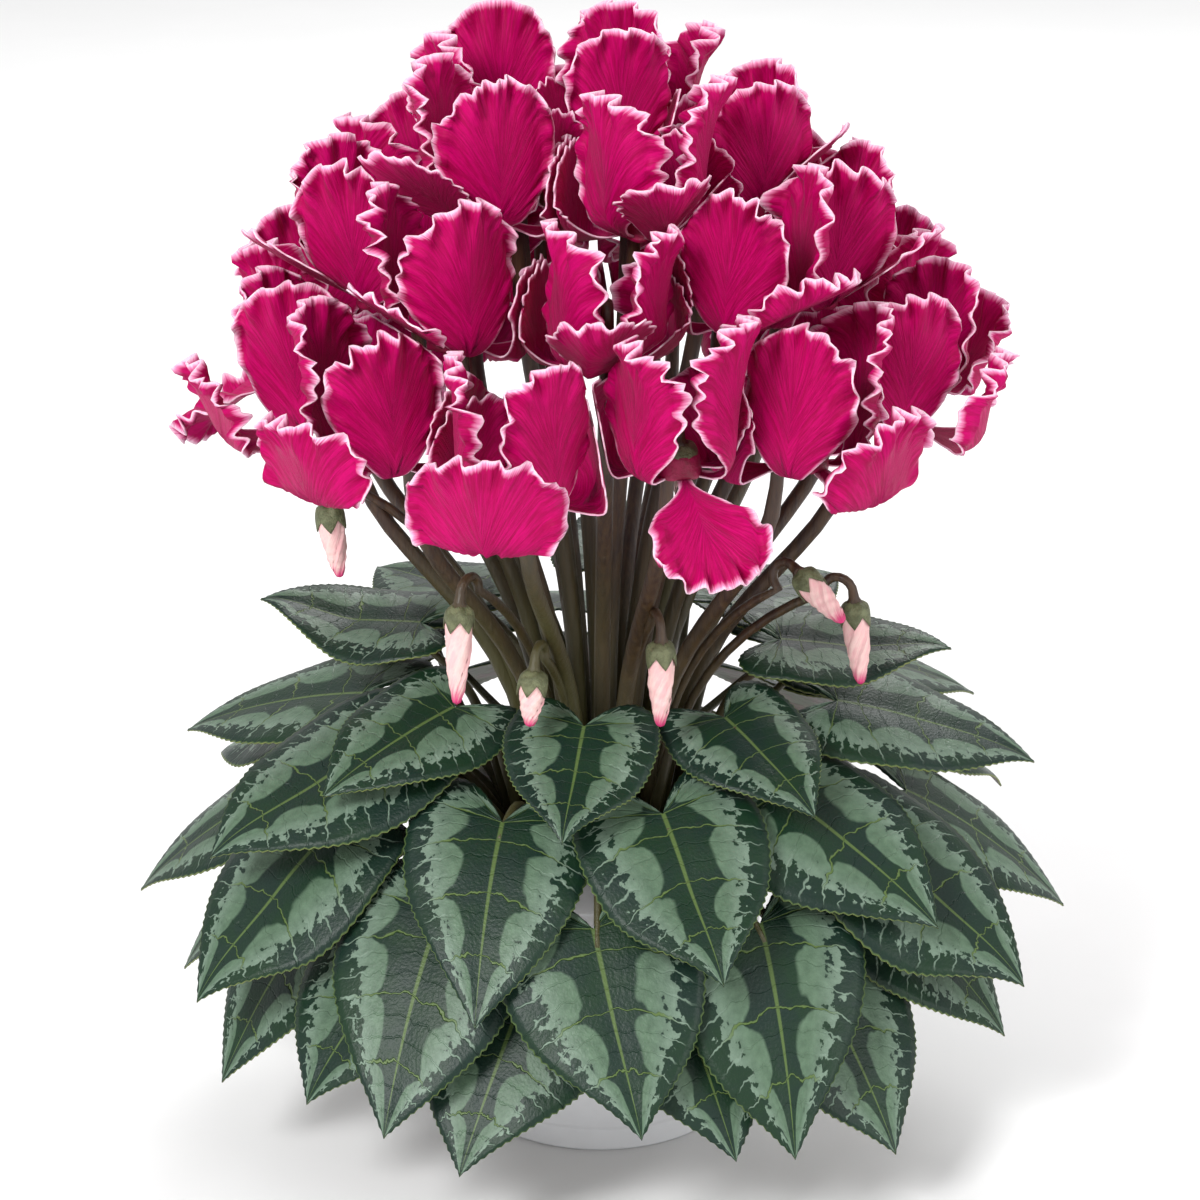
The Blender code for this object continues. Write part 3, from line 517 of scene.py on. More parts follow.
@dataclass(frozen=True)
class BladeFinish:
    """Marbled upper side of a leaf.

    The chart's x counts the side veins, one at each whole number, and goes up by a leaf's span
    from one leaf to the next. Its y runs from the midrib at 0 to the edge at 1 and -1. Silver
    patches lie between the veins, round towards the dark middle and ragged towards the dark
    margin, where silver vein ends run on.
    """

    name: str = "marbled_blade"
    dark: tuple = (0.0065, 0.0290, 0.0110, 1.0)
    blue: tuple = (0.0060, 0.0220, 0.0150, 1.0)
    silver: tuple = (0.105, 0.175, 0.110, 1.0)
    frost: tuple = (0.175, 0.250, 0.190, 1.0)
    vein: tuple = (0.090, 0.145, 0.040, 1.0)
    leaf_span: float = LEAF_SPAN
    rib_start: float = 2.5
    rib_gap: float = 20.0
    edge_gap: float = 17.0
    vein_half: float = 0.34
    twig_half: float = 0.30
    twigs_each: float = 3.0

    def spacing(self, sketch: Sketch, count: object, reach: object) -> bpy.types.NodeSocket:
        """Give how many millimetres lie between one side vein and the next."""
        place = sketch.math("MODULO", count, self.leaf_span)
        inner = sketch.minus(1.0, reach)
        from_rib = sketch.times(sketch.times(inner, inner), self.rib_gap)
        on_rib = sketch.times(from_rib, sketch.rise(place, self.rib_start - 0.2, self.rib_start + 0.2))
        return sketch.plus(on_rib, sketch.times(reach, self.edge_gap))

    def vein_lines(self, sketch: Sketch, count: object, gap: object, half: float) -> bpy.types.NodeSocket:
        """Draw lines at the whole numbers of a count.

        Args:
            sketch: The sketch of the material.
            count: The vein count over the blade.
            gap: The millimetres from one line to the next.
            half: Half the width of a line in millimetres.

        Returns:
            A mask that is 1 on the lines.
        """
        phase = sketch.math("FRACT", count)
        off = sketch.minus(0.5, sketch.math("ABSOLUTE", sketch.minus(phase, 0.5)))
        return sketch.rise(sketch.times(off, gap), half, half * 0.3)

    def marbling(self, sketch: Sketch, count: object, reach: object) -> bpy.types.NodeSocket:
        """Draw the silver patches between the veins."""
        chart = sketch.chart()
        speckle = sketch.grain(chart, (6.0, 8.0, 1.0), 5.0)
        drift = sketch.grain(chart, (0.9, 1.6, 1.0), 1.0)
        leafwise = sketch.grain(chart, (0.047, 0.0, 1.0), 0.0)
        phase = sketch.math("FRACT", count)
        middle = sketch.times(sketch.math("ABSOLUTE", sketch.minus(phase, 0.5)), 2.0)
        lobe = sketch.times(sketch.math("POWER", middle, 3.0), 0.20)
        shift = sketch.plus(sketch.spread(drift, -0.18, 0.18), sketch.spread(leafwise, -0.20, 0.20))
        inner = sketch.plus(sketch.plus(lobe, 0.26), shift)
        outer = sketch.plus(sketch.spread(speckle, 0.26, 1.14), sketch.times(shift, 0.5))
        within = sketch.rise(reach, inner, sketch.plus(inner, 0.05))
        beyond = sketch.rise(reach, outer, sketch.minus(outer, 0.03))
        patch = sketch.times(within, beyond)
        clear = sketch.rise(reach, 0.86, 0.78)
        return sketch.times(sketch.times(patch, clear), sketch.spread(speckle, 0.35, 1.25))

    def make(self, mottle: bpy.types.NodeTree) -> bpy.types.Material:
        """Make the material."""
        made, sketch, shader = new_finish(self.name, 0.42)
        chart = sketch.chart()
        sides = sketch.parts(chart).outputs
        reach = sketch.math("ABSOLUTE", sides["Y"])
        wander = sketch.grain(chart, (3.0, 5.0, 1.0), 2.0)
        count = sketch.plus(sides["X"], sketch.spread(wander, -0.14, 0.14))
        gap = self.spacing(sketch, sides["X"], reach)
        ground = sketch.scaled(sketch.place(), (40.0,) * 3)
        green = sketch.group(mottle, Place=ground, First=self.dark, Second=self.blue)
        silver = sketch.mix(sketch.rise(reach, 0.35, 0.80), self.silver, self.frost)
        leaf = sketch.mix(self.marbling(sketch, count, reach), green.outputs["Colour"], silver)
        twig_count = sketch.times(count, self.twigs_each)
        twig_gap = sketch.math("DIVIDE", gap, self.twigs_each)
        twigs = self.vein_lines(sketch, twig_count, twig_gap, self.twig_half)
        ends = sketch.rise(reach, sketch.spread(wander, 0.80, 1.06), sketch.spread(wander, 0.70, 0.90))
        twig_zone = sketch.times(sketch.rise(reach, 0.50, 0.66), ends)
        leaf = sketch.mix(sketch.times(twigs, sketch.times(twig_zone, 0.8)), leaf, self.frost)
        mains = self.vein_lines(sketch, count, gap, self.vein_half)
        line = sketch.mix(sketch.rise(reach, 0.50, 0.80), self.vein, self.frost)
        leaf = sketch.mix(sketch.times(mains, sketch.rise(reach, 0.97, 0.80)), leaf, line)
        leaf = sketch.mix(sketch.times(sketch.rise(reach, 0.028, 0.012), 0.9), leaf, self.vein)
        leaf = sketch.mix(sketch.times(sketch.rise(reach, 0.978, 0.995), 0.8), leaf, self.vein)
        sketch.feed(leaf, shader.inputs["Base Color"])
        shader.inputs["Specular IOR Level"].default_value = 0.3
        sunk = sketch.minus(1.0, sketch.math("MAXIMUM", mains, sketch.times(twigs, 0.4)))
        pebbles = sketch.noise(sketch.place(), 900.0, 2.0)
        add_relief(sketch, shader, sketch.plus(sunk, sketch.times(pebbles, 0.5)), 0.0004)
        return made


@dataclass(frozen=True)
class BudFinish:
    """Furled bud: pale pink mottled with blush, and magenta at the tip that runs down in streaks."""

    name: str = "pale_bud"
    pale: tuple = (0.86, 0.60, 0.56, 1.0)
    blush: tuple = (0.85, 0.28, 0.36, 1.0)
    tip: tuple = (0.62, 0.02, 0.16, 1.0)

    def make(self, mottle: bpy.types.NodeTree) -> bpy.types.Material:
        """Make the material."""
        made, sketch, shader = new_finish(self.name, 0.5)
        chart = sketch.chart()
        along = sketch.parts(chart).outputs["Y"]
        streaks = sketch.grain(chart, (24.0, 2.0, 1.0), 3.0)
        spots = sketch.scaled(chart, (9.0, 3.0, 1.0))
        petal = sketch.group(mottle, Place=spots, First=self.pale, Second=self.blush)
        soft = sketch.mix(0.45, self.pale, petal.outputs["Colour"])
        shift = sketch.plus(along, sketch.spread(streaks, -0.14, 0.14))
        sketch.feed(sketch.mix(sketch.rise(shift, 0.74, 0.98), soft, self.tip), shader.inputs["Base Color"])
        add_relief(sketch, shader, streaks, 0.0003)
        return made


class Finishes:
    """Every finish of the plant, made once."""

    def __init__(self) -> None:
        """Make the shared effect and the finishes."""
        mottle = mottle_group()
        self.petal = PetalFinish().make(mottle)
        self.petal_rim = PlainFinish(
            "petal_rim", (0.95, 0.70, 0.80, 1.0), (0.86, 0.42, 0.60, 1.0), 0.5, 300.0, 0.0
        ).make(mottle)
        self.throat = PlainFinish(
            "bloom_throat", (0.32, 0.0, 0.06, 1.0), (0.20, 0.0, 0.03, 1.0), 0.5, 300.0, 0.0002
        ).make(mottle)
        self.stem = StemFinish().make(mottle)
        self.calyx = PlainFinish(
            "olive_calyx", (0.150, 0.165, 0.080, 1.0), (0.075, 0.085, 0.035, 1.0), 0.5, 350.0, 0.0003
        ).make(mottle)
        self.blade = BladeFinish().make(mottle)
        self.blade_back = PlainFinish(
            "blade_back", (0.085, 0.110, 0.060, 1.0), (0.120, 0.060, 0.055, 1.0), 0.5, 60.0, 0.0003
        ).make(mottle)
        self.blade_rim = PlainFinish(
            "blade_rim", (0.200, 0.230, 0.060, 1.0), (0.120, 0.150, 0.050, 1.0), 0.5, 250.0, 0.0
        ).make(mottle)
        self.bud = BudFinish().make(mottle)
        self.corm = PlainFinish(
            "corky_corm", (0.070, 0.040, 0.022, 1.0), (0.030, 0.018, 0.012, 1.0), 0.9, 260.0, 0.0012
        ).make(mottle)
        self.peat = PlainFinish(
            "potting_peat", (0.040, 0.024, 0.014, 1.0), (0.012, 0.008, 0.006, 1.0), 0.95, 420.0, 0.0020
        ).make(mottle)
        self.grit = PlainFinish(
            "pale_grit", (0.60, 0.58, 0.54, 1.0), (0.42, 0.40, 0.36, 1.0), 0.9, 500.0, 0.0006
        ).make(mottle)
        self.plastic = PlainFinish(
            "white_plastic", (0.82, 0.83, 0.85, 1.0), (0.78, 0.79, 0.81, 1.0), 0.28, 30.0, 0.00002
        ).make(mottle)
        self.studio = PlainFinish(
            "pale_floor", (0.90, 0.90, 0.90, 1.0), (0.88, 0.88, 0.88, 1.0), 0.8, 3.0, 0.0
        ).make(mottle)


# Pot and soil


@dataclass
class Pot:
    """Thin white plastic pot with a rolled rim, a foot ring and drain holes in its floor."""

    finishes: Finishes
    height: float = 0.115
    rim_radius: float = 0.065
    base_radius: float = 0.047
    rim_depth: float = 0.013
    rim_ledge: float = 0.0022
    rim_round: float = 0.0012
    wall: float = 0.0020
    floor: float = 0.0035
    foot_height: float = 0.009
    sides: int = 96
    drain_radius: float = 0.0045
    drain_circle: float = 0.029
    drain_count: int = 4
    drain_sides: int = 24
    drain_depth: float = 0.02
    edge_width: float = 0.0004

    def inner_radius(self, height: float) -> float:
        """Give the radius of the pot's inside at a height."""
        share = (height - self.floor) / (self.height - self.floor)
        low = self.base_radius - self.wall
        high = self.rim_radius - self.rim_ledge - self.wall
        return low + (high - low) * share

    def outline(self) -> list[tuple[float, float]]:
        """Give the wall's outline, from the floor's middle up the inside and down the outside."""
        ledge = self.rim_radius - self.rim_ledge
        top = self.height - self.rim_depth
        foot = self.base_radius + 0.0008
        return [
            (self.inner_radius(self.floor), self.floor),
            (self.inner_radius(self.height - 0.001), self.height - 0.001),
            (self.rim_radius - self.rim_round, self.height),
            (self.rim_radius, self.height - self.rim_round),
            (self.rim_radius - 0.0008, top),
            (ledge, top - self.rim_round),
            (foot + 0.0016, self.foot_height + 0.0022),
            (foot + 0.0010, self.foot_height + 0.0012),
            (foot, self.foot_height),
            (self.base_radius + 0.0004, 0.0010),
            (self.base_radius - 0.0006, 0.0),
        ]

    def raise_wall(self) -> bpy.types.Object:
        """Extrude a ring along the outline and close it at the floor and at the underside."""
        outline = self.outline()
        start_afresh()
        radius, height = outline[0]
        bpy.ops.mesh.primitive_circle_add(
            vertices=self.sides, radius=radius, fill_type="NGON", location=(0.0, 0.0, height)
        )
        piece = bpy.context.active_object
        bpy.ops.object.transform_apply(location=True, rotation=False, scale=False)
        bpy.ops.object.mode_set(mode="EDIT")
        bpy.ops.mesh.select_all(action="SELECT")
        bpy.ops.mesh.region_to_loop()
        for next_radius, next_height in outline[1:]:
            step = (0.0, 0.0, next_height - height)
            bpy.ops.mesh.extrude_edges_move(TRANSFORM_OT_translate={"value": step})
            ratio = next_radius / radius
            bpy.ops.transform.resize(value=(ratio, ratio, 1.0), center_override=(0.0, 0.0, next_height))
            radius, height = next_radius, next_height
        bpy.ops.mesh.edge_face_add()
        bpy.ops.mesh.select_all(action="SELECT")
        bpy.ops.mesh.normals_make_consistent(inside=False)
        bpy.ops.object.mode_set(mode="OBJECT")
        return piece

    def cut_drains(self, piece: bpy.types.Object) -> None:
        """Cut the drain holes through the floor."""
        for index in range(self.drain_count):
            place = polar(self.drain_circle, 45 + index * 360 / self.drain_count)
            start_afresh()
            bpy.ops.mesh.primitive_cylinder_add(
                vertices=self.drain_sides, radius=self.drain_radius, depth=self.drain_depth, location=place
            )
            cutter = bpy.context.active_object
            hole = piece.modifiers.new("Drain", "BOOLEAN")
            hole.object = cutter
            hole.solver = "EXACT"
            apply_modifiers(piece)
            bpy.data.objects.remove(cutter, do_unlink=True)

    def build(self) -> None:
        """Make the pot, round its edges and dress it."""
        piece = self.raise_wall()
        self.cut_drains(piece)
        edges = piece.modifiers.new("Edges", "BEVEL")
        edges.width = self.edge_width
        edges.segments = 2
        edges.limit_method = "ANGLE"
        edges.angle_limit = math.radians(25)
        apply_modifiers(piece)
        dress(piece, [self.finishes.plastic])
        made = join("dressed_pot", [piece])
        hand_over(made, ["pot"])


@dataclass
class Soil:
    """Peat that fills the pot to below its rim, lumpy on top, with crumbs and pale grit."""

    finishes: Finishes
    pot: Pot
    top: float = 0.104
    dip: float = 0.002
    lump: float = 0.0016
    corm_radius: float = 0.0273
    around: int = 120
    rows: int = 30
    crumbs: int = 150
    crumb_size: tuple = (0.0007, 0.0021)
    grit_every: int = 6
    seed: int = 5

    def place(self, u: np.ndarray, v: np.ndarray) -> np.ndarray:
        """Run from the crown's side over the top and down the wall to the floor."""
        turn = u * math.tau
        edge = self.pot.inner_radius(self.top) - 2 * GAP
        low = self.pot.inner_radius(self.pot.floor + GAP) - 3 * GAP
        across = np.clip(v / 0.8, 0.0, 1.0)
        down = np.clip((v - 0.8) / 0.1, 0.0, 1.0)
        close = np.clip((v - 0.9) / 0.1, 0.0, 1.0)
        radius = edge * across - (edge - low) * down - low * close
        height = self.top - self.dip * across**2 - (self.top - self.dip - self.pot.floor - GAP) * down
        lumps = np.array([
            noise.fractal(Vector((r * math.cos(t), r * math.sin(t), 0.0)) * 160.0, 1.0, 2.0, 3)
            for r, t in zip(radius, turn)
        ])
        height += self.lump * lumps * (down == 0.0) * smooth_step(1.0, 0.97, across)
        return np.column_stack((radius * np.cos(turn), radius * np.sin(turn), height))

    def crumb(self, draw: random.Random, index: int) -> bpy.types.Object:
        """Make one crumb that lies on the soil."""
        start_afresh()
        size = draw.uniform(*self.crumb_size)
        radius = math.sqrt(draw.uniform(self.corm_radius**2, (self.pot.rim_radius - 0.0075) ** 2))
        place = polar(radius, draw.uniform(0, 360), self.top - self.dip * 0.6 + size * 0.3)
        bpy.ops.mesh.primitive_ico_sphere_add(subdivisions=1, radius=size, location=place)
        piece = bpy.context.active_object
        piece.scale = (draw.uniform(0.7, 1.3), draw.uniform(0.7, 1.3), draw.uniform(0.5, 0.9))
        bpy.ops.object.transform_apply(location=True, rotation=True, scale=True)
        dress(piece, [self.finishes.grit if index % self.grit_every == 0 else self.finishes.peat])
        return piece

    def build(self) -> None:
        """Make the soil with its crumbs."""
        body = shaped_grid("soil_body", self.around, self.rows, self.place, plain_chart)
        weld(body, outwards=True)
        dress(body, [self.finishes.peat])
        draw = random.Random(self.seed)
        crumbs = [self.crumb(draw, index) for index in range(self.crumbs)]
        made = join("dressed_soil", [body] + crumbs)
        hand_over(made, ["soil"])


# Leaves


@dataclass(frozen=True)
class Tier:
    """One ring of leaves: how many, where their notches are and how long they are."""

    count: int
    start: float
    base_radius: float
    level: float
    step: float
    length: float
    half_width: float
    side_fall: float
    outwards: float
    route: tuple


@dataclass(frozen=True)
class Leaf:
    """One leaf on the canopy."""

    number: int
    azimuth: float
    yaw: float
    base_radius: float
    level: float
    lift: float
    length: float
    half_width: float
    side_fall: float
    phase: float
    outwards: float
    route: tuple


TIERS = (
    Tier(8, -95, 0.060, 0.000, 0.008, 0.053, 0.0245, 0.64, -1.0, ((0.039, 0.138), (0.049, 0.163))),
    Tier(10, -78, 0.077, -0.017, 0.008, 0.068, 0.0290, 0.74, -0.33, ((0.046, 0.126), (0.065, 0.141))),
    Tier(12, -90, 0.098, -0.034, 0.008, 0.075, 0.0325, 0.86, 0.33, ((0.052, 0.127), (0.076, 0.129))),
    Tier(14, -77, 0.096, -0.053, 0.008, 0.067, 0.0305, 1.0, 0.9, ((0.056, 0.1205), (0.076, 0.1150))),
)


@dataclass(frozen=True)
class Canopy:
    """The dome that every leaf follows at its own level."""

    top: float = 0.186
    drop: float = 0.100
    radius: float = 0.150
    power: float = 3.0
    oval: float = 1.12
    steps: int = 12
    fold: float = 0.0012
    wave: float = 0.0015
    wave_pace: float = 7.0
    lift_start: float = 0.35
    lean: float = 0.13
    leaf_lean: float = 0.05

    def height(self, radius: np.ndarray) -> np.ndarray:
        """Give the height of the canopy at a distance from the axis."""
        return self.top - self.drop * (radius / self.radius) ** self.power

    def fall(self, x: np.ndarray, y: np.ndarray, side_fall: float) -> np.ndarray:
        """Give the radius whose height a place takes: the canopy falls less to its sides and back."""
        return np.hypot(x * side_fall, y * np.where(y > 0, side_fall, 1.0))

    def walk(self, radius: float, distance: np.ndarray, steepness: float) -> np.ndarray:
        """Give the radius that is reached by going a distance down the canopy's slope."""
        place = np.full_like(distance, radius)
        for _ in range(self.steps):
            share = np.maximum(place, 0.0) * steepness / self.radius
            slope = steepness * self.drop * self.power / self.radius * share ** (self.power - 1)
            place = place + distance / self.steps / np.hypot(1.0, slope)
        return place

    def relief(self, leaf: Leaf, across: np.ndarray, along: np.ndarray) -> np.ndarray:
        """Give how far the blade stands above its level: a fold, a waved edge and a lifted tip."""
        side = np.abs(across) / leaf.half_width
        run = along / leaf.length
        fold = self.fold * 4.0 * side * (1.0 - side)
        turn = np.sign(across) * leaf.phase
        wave = self.wave * side**2 * np.sin(self.wave_pace * run + turn)
        return fold + wave + leaf.lift * smooth_step(self.lift_start, 1.0, run)

    def lay(self, leaf: Leaf, across: np.ndarray, along: np.ndarray) -> np.ndarray:
        """Lay points of the flat blade on the canopy."""
        turn = math.radians(leaf.yaw)
        walk = along * math.cos(turn) - across * math.sin(turn)
        side = along * math.sin(turn) + across * math.cos(turn)
        out = polar(1.0, leaf.azimuth)
        reach = self.walk(leaf.base_radius, walk, self.fall(out.x, out.y, leaf.side_fall))
        x = out.x * reach - out.y * side
        y = out.y * reach + out.x * side
        z = self.height(self.fall(x, y, leaf.side_fall)) + leaf.level
        z += self.relief(leaf, across, along) + self.lean * y + self.leaf_lean * out.x * side
        return np.column_stack((x * self.oval, y, z))


LEAF_TURN = 3
LEAF_YAW = 13
LEAF_SHIFT = 0.002
UPPER_LIFT = 0.011
UNDER_LIFT = 0.003


def draw_leaves(seed: int) -> list[Leaf]:
    """Give every leaf of the plant, tier by tier."""
    draw = random.Random(seed)
    leaves = []
    for tier in TIERS:
        for index in range(tier.count):
            under = index % 2
            size = draw.uniform(*SIZE_SPREAD)
            leaves.append(
                Leaf(
                    number=len(leaves) + 1,
                    azimuth=tier.start + index * 360 / tier.count + draw.uniform(-LEAF_TURN, LEAF_TURN),
                    yaw=draw.uniform(-LEAF_YAW, LEAF_YAW),
                    base_radius=tier.base_radius + draw.uniform(-LEAF_SHIFT, LEAF_SHIFT),
                    level=tier.level - under * tier.step,
                    lift=draw.uniform(0.0, UNDER_LIFT if under else UPPER_LIFT),
                    length=tier.length * size,
                    half_width=tier.half_width * size,
                    side_fall=tier.side_fall,
                    phase=draw.uniform(0, math.tau),
                    outwards=tier.outwards,
                    route=tier.route,
                )
            )
    return leaves


@dataclass
class LeafTufts:
    """Twelve tufts of heart-shaped leaves with their stalks, each tuft on one foot."""

    finishes: Finishes
    canopy: Canopy = Canopy()
    seed: int = 3
    tufts: int = 12
    foot_circle: float = 0.0335
    foot_radius: float = 0.0045
    foot_bottom: float = 0.0973
    foot_top: float = 0.110
    foot_spread: float = 0.0024
    stalk_radius: float = 0.0019
    stalk_join: float = 0.006
    blade_thickness: float = 0.0006
    columns: int = 78
    rows: int = 18
    veins: float = 6.0
    quilt: float = 0.0005
    tooth: float = 0.00032
    notch: float = 0.42
    rib_power: float = 1.15
    bend_across: float = 0.58
    bend_along: float = 0.34
    middle: float = 0.3
    heart: tuple = (
        (0.0, 0.0),
        (0.10, -0.07),
        (0.36, -0.20),
        (0.64, -0.25),
        (0.89, -0.18),
        (1.0, -0.01),
        (1.02, 0.17),
        (0.94, 0.36),
        (0.76, 0.55),
        (0.50, 0.73),
        (0.21, 0.89),
        (0.0, 1.0),
    )

    def outline(self) -> tuple[np.ndarray, np.ndarray]:
        """Give the smooth outline of half a leaf, from notch to tip, in even steps."""
        knots = [Vector((across, along, 0.0)) for across, along in self.heart]
        path = np.array([tuple(point) for point in smooth_path(knots, 8)])[:, :2]
        path[:, 0] = np.maximum(path[:, 0], 0.0)
        steps = np.hypot(np.diff(path[:, 0]) * 0.45, np.diff(path[:, 1]))
        return np.concatenate(([0.0], np.cumsum(steps) / steps.sum())), path

    def place_blade(self, leaf: Leaf) -> Placer:
        """Give the function that places a blade's grid: u from notch to tip, v from edge to edge."""
        shares, path = self.outline()

        def place(u: np.ndarray, v: np.ndarray) -> np.ndarray:
            side = np.sign(v - 0.5)
            reach = np.abs(v - 0.5) * 2.0
            edge_across = np.interp(u, shares, path[:, 0])
            edge_along = np.interp(u, shares, path[:, 1])
            rib = np.clip((u - self.notch) / (1.0 - self.notch), 0.0, 1.0) ** self.rib_power
            bend_across = edge_across * self.bend_across
            bend_along = rib + (edge_along - rib) * self.bend_along
            across = 2 * reach * (1 - reach) * bend_across + reach**2 * edge_across
            along = (1 - reach) ** 2 * rib + 2 * reach * (1 - reach) * bend_along + reach**2 * edge_along
            tooth = np.where(np.round(u * self.columns) % 2 == 0, 1.0, -1.0) * (reach > 0.99)
            out = np.hypot(edge_across * leaf.half_width, (edge_along - self.middle) * leaf.length)
            grow = 1.0 + tooth * self.tooth / np.maximum(out, 0.004)
            across = side * across * grow * leaf.half_width
            along = (self.middle + (along - self.middle) * grow) * leaf.length
            points = self.canopy.lay(leaf, across, along)
            quilting = np.sin(math.pi * u * self.veins) ** 2 * reach * (1.0 - reach**4)
            points[:, 2] += self.quilt * (quilting * 2.0 - reach)
            return points

        return place

    def chart_blade(self, leaf: Leaf) -> Placer:
        """Give the function that charts a blade: veins along x, the way from the midrib along y."""

        def chart(u: np.ndarray, v: np.ndarray) -> np.ndarray:
            return np.column_stack((u * self.veins + LEAF_SPAN * leaf.number, (v - 0.5) * 2.0))

        return chart

    def blade(self, leaf: Leaf) -> bpy.types.Object:
        """Make one marbled blade."""
        name = f"blade_{leaf.number}"
        piece = shaped_grid(name, self.columns, self.rows, self.place_blade(leaf), self.chart_blade(leaf))
        weld(piece, 0.00002)
        if piece.data.polygons[len(piece.data.polygons) // 2].normal.z < 0:
            piece.data.flip_normals()
        dress(piece, [self.finishes.blade, self.finishes.blade_back, self.finishes.blade_rim])
        thicken(piece, self.blade_thickness, back=1, rim=2)
        return piece

    def foot_place(self, index: int) -> Vector:
        """Give the place of a tuft's foot in plan."""
        return polar(self.foot_circle, -90 + index * 360 / self.tufts)

    def stalk(self, leaf: Leaf, foot: Vector) -> bpy.types.Object:
        """Make the stalk that carries a blade, from its tuft's foot to the midrib by the notch."""
        end = self.canopy.lay(leaf, np.array([0.0]), np.array([self.stalk_join]))[0]
        foot_turn = math.atan2(foot.y, foot.x)
        swing = math.remainder(math.atan2(end[1], end[0]) - foot_turn, math.tau)
        end_radius = math.hypot(end[0], end[1])
        sideways = max(math.sqrt(1.0 - leaf.outwards**2), 0.5)
        aside = math.copysign(sideways, swing) * self.foot_spread
        start = self.foot_circle + leaf.outwards * self.foot_spread
        route = [Vector((start, aside / start / swing, self.foot_top - 0.0035))]
        for radius, height in leaf.route:
            route.append(Vector((radius, (radius - start) / (end_radius - start), height)))
        route.append(Vector((end_radius, 1.0, end[2] - 0.0006)))
        points = []
        for spot in smooth_path(route, 6):
            turn = foot_turn + swing * spot.y
            points.append(Vector((spot.x * math.cos(turn), spot.x * math.sin(turn), spot.z)))
        count = len(points) - 1
        radii = [self.stalk_radius * (1.12 - 0.5 * (i / count) ** 2) for i in range(count + 1)]
        return tube_along(f"stalk_{leaf.number}", points, radii, 8, self.finishes.stem)

    def foot(self, index: int) -> bpy.types.Object:
        """Make the short shoot that a tuft's stalks grow from."""
        place = self.foot_place(index)
        points = []
        radii = []
        for share, width in ((0.0, 0.9), (0.3, 1.0), (0.7, 1.0), (0.9, 0.9), (1.0, 0.62)):
            height = self.foot_bottom + (self.foot_top - self.foot_bottom) * share
            points.append(place + Vector((0.0, 0.0, height)))
            radii.append(self.foot_radius * width)
        return tube_along(f"foot_{index + 1}", points, radii, 12, self.finishes.corm)

    def build(self) -> None:
        """Make every tuft."""
        pieces = {index: [self.foot(index)] for index in range(self.tufts)}
        for leaf in draw_leaves(self.seed):
            index = round((leaf.azimuth + 90) / 360 * self.tufts) % self.tufts
            pieces[index].append(self.blade(leaf))
            pieces[index].append(self.stalk(leaf, self.foot_place(index)))
        for index, parts in pieces.items():
            made = join(f"dressed_tuft_{index + 1:02d}", parts)
            hand_over(made, [f"leaf_tuft_{index + 1:02d}"])


# Blooms


@dataclass(frozen=True)
class Ring:
    """One ring of blooms: how many, where they are, how they lean and where their stems start."""

    count: int
    start: float
    radius: float
    height: float
    tilt: float
    crown_radius: float


RINGS = (
    Ring(1, 0, 0.000, 0.366, 0, 0.000),
    Ring(5, -70, 0.047, 0.353, 2, 0.008),
    Ring(9, -90, 0.079, 0.320, 5, 0.0155),
    Ring(12, -75, 0.104, 0.283, 5, 0.0225),
)


@dataclass(frozen=True)
class Bloom:
    """One bloom: the top of its tube, its axis, the way to its stem, and where its stem starts.

    Its outside is the radius of its ring as a share of the outermost ring's.
    """

    number: int
    place: Vector
    axis: Vector
    inward: Vector
    foot: Vector
    outside: float

    def matrix(self) -> np.ndarray:
        """Give the bloom's frame: x towards the stem, z along the axis."""
        turn = Matrix((self.inward, self.axis.cross(self.inward), self.axis)).transposed().to_4x4()
        return np.array(Matrix.Translation(self.place) @ turn)

    def to_plant(self, points: np.ndarray) -> np.ndarray:
        """Take points from the bloom's own frame to the plant's."""
        matrix = self.matrix()
        return points @ matrix[:3, :3].T + matrix[:3, 3]


BLOOM_TURN = 3
BLOOM_SHIFT = 0.003
BLOOM_RISE = 0.007


def draw_blooms(seed: int) -> list[Bloom]:
    """Give every bloom of the plant, ring by ring."""
    draw = random.Random(seed)
    blooms = []
    for ring in RINGS:
        for index in range(ring.count):
            azimuth = ring.start + index * 360 / ring.count + draw.uniform(-BLOOM_TURN, BLOOM_TURN)
            radius = ring.radius + draw.uniform(-BLOOM_SHIFT, BLOOM_SHIFT) * (ring.count > 1)
            height = ring.height + draw.uniform(-BLOOM_RISE, BLOOM_RISE) * (ring.count > 1)
            out = polar(1.0, azimuth)
            tilt = math.radians(ring.tilt)
            axis = Vector((out.x * math.sin(tilt), out.y * math.sin(tilt), math.cos(tilt)))
            blooms.append(
                Bloom(
                    number=len(blooms) + 1,
                    place=out * radius + Vector((0.0, 0.0, height)),
                    axis=axis,
                    inward=axis.cross(Vector((-out.y, out.x, 0.0))),
                    foot=polar(ring.crown_radius, azimuth),
                    outside=ring.radius / RINGS[-1].radius,
                )
            )
    return blooms


class PetalKind(Enum):
    """How a petal stands in its bloom."""

    INNER = "inner"
    OUTER = "outer"
    HANGING = "hanging"


@dataclass(frozen=True)
class Petal:
    """One petal: its turn about the bloom's axis, its lean, roll, twist, size and start of wave."""

    kind: PetalKind
    turn: float
    lean: float
    roll: float
    twist: float
    size: float
    phase: float

    @property
    def is_inner(self) -> bool:
        """Tell whether the petal stands inside its neighbours."""
        return self.kind is PetalKind.INNER


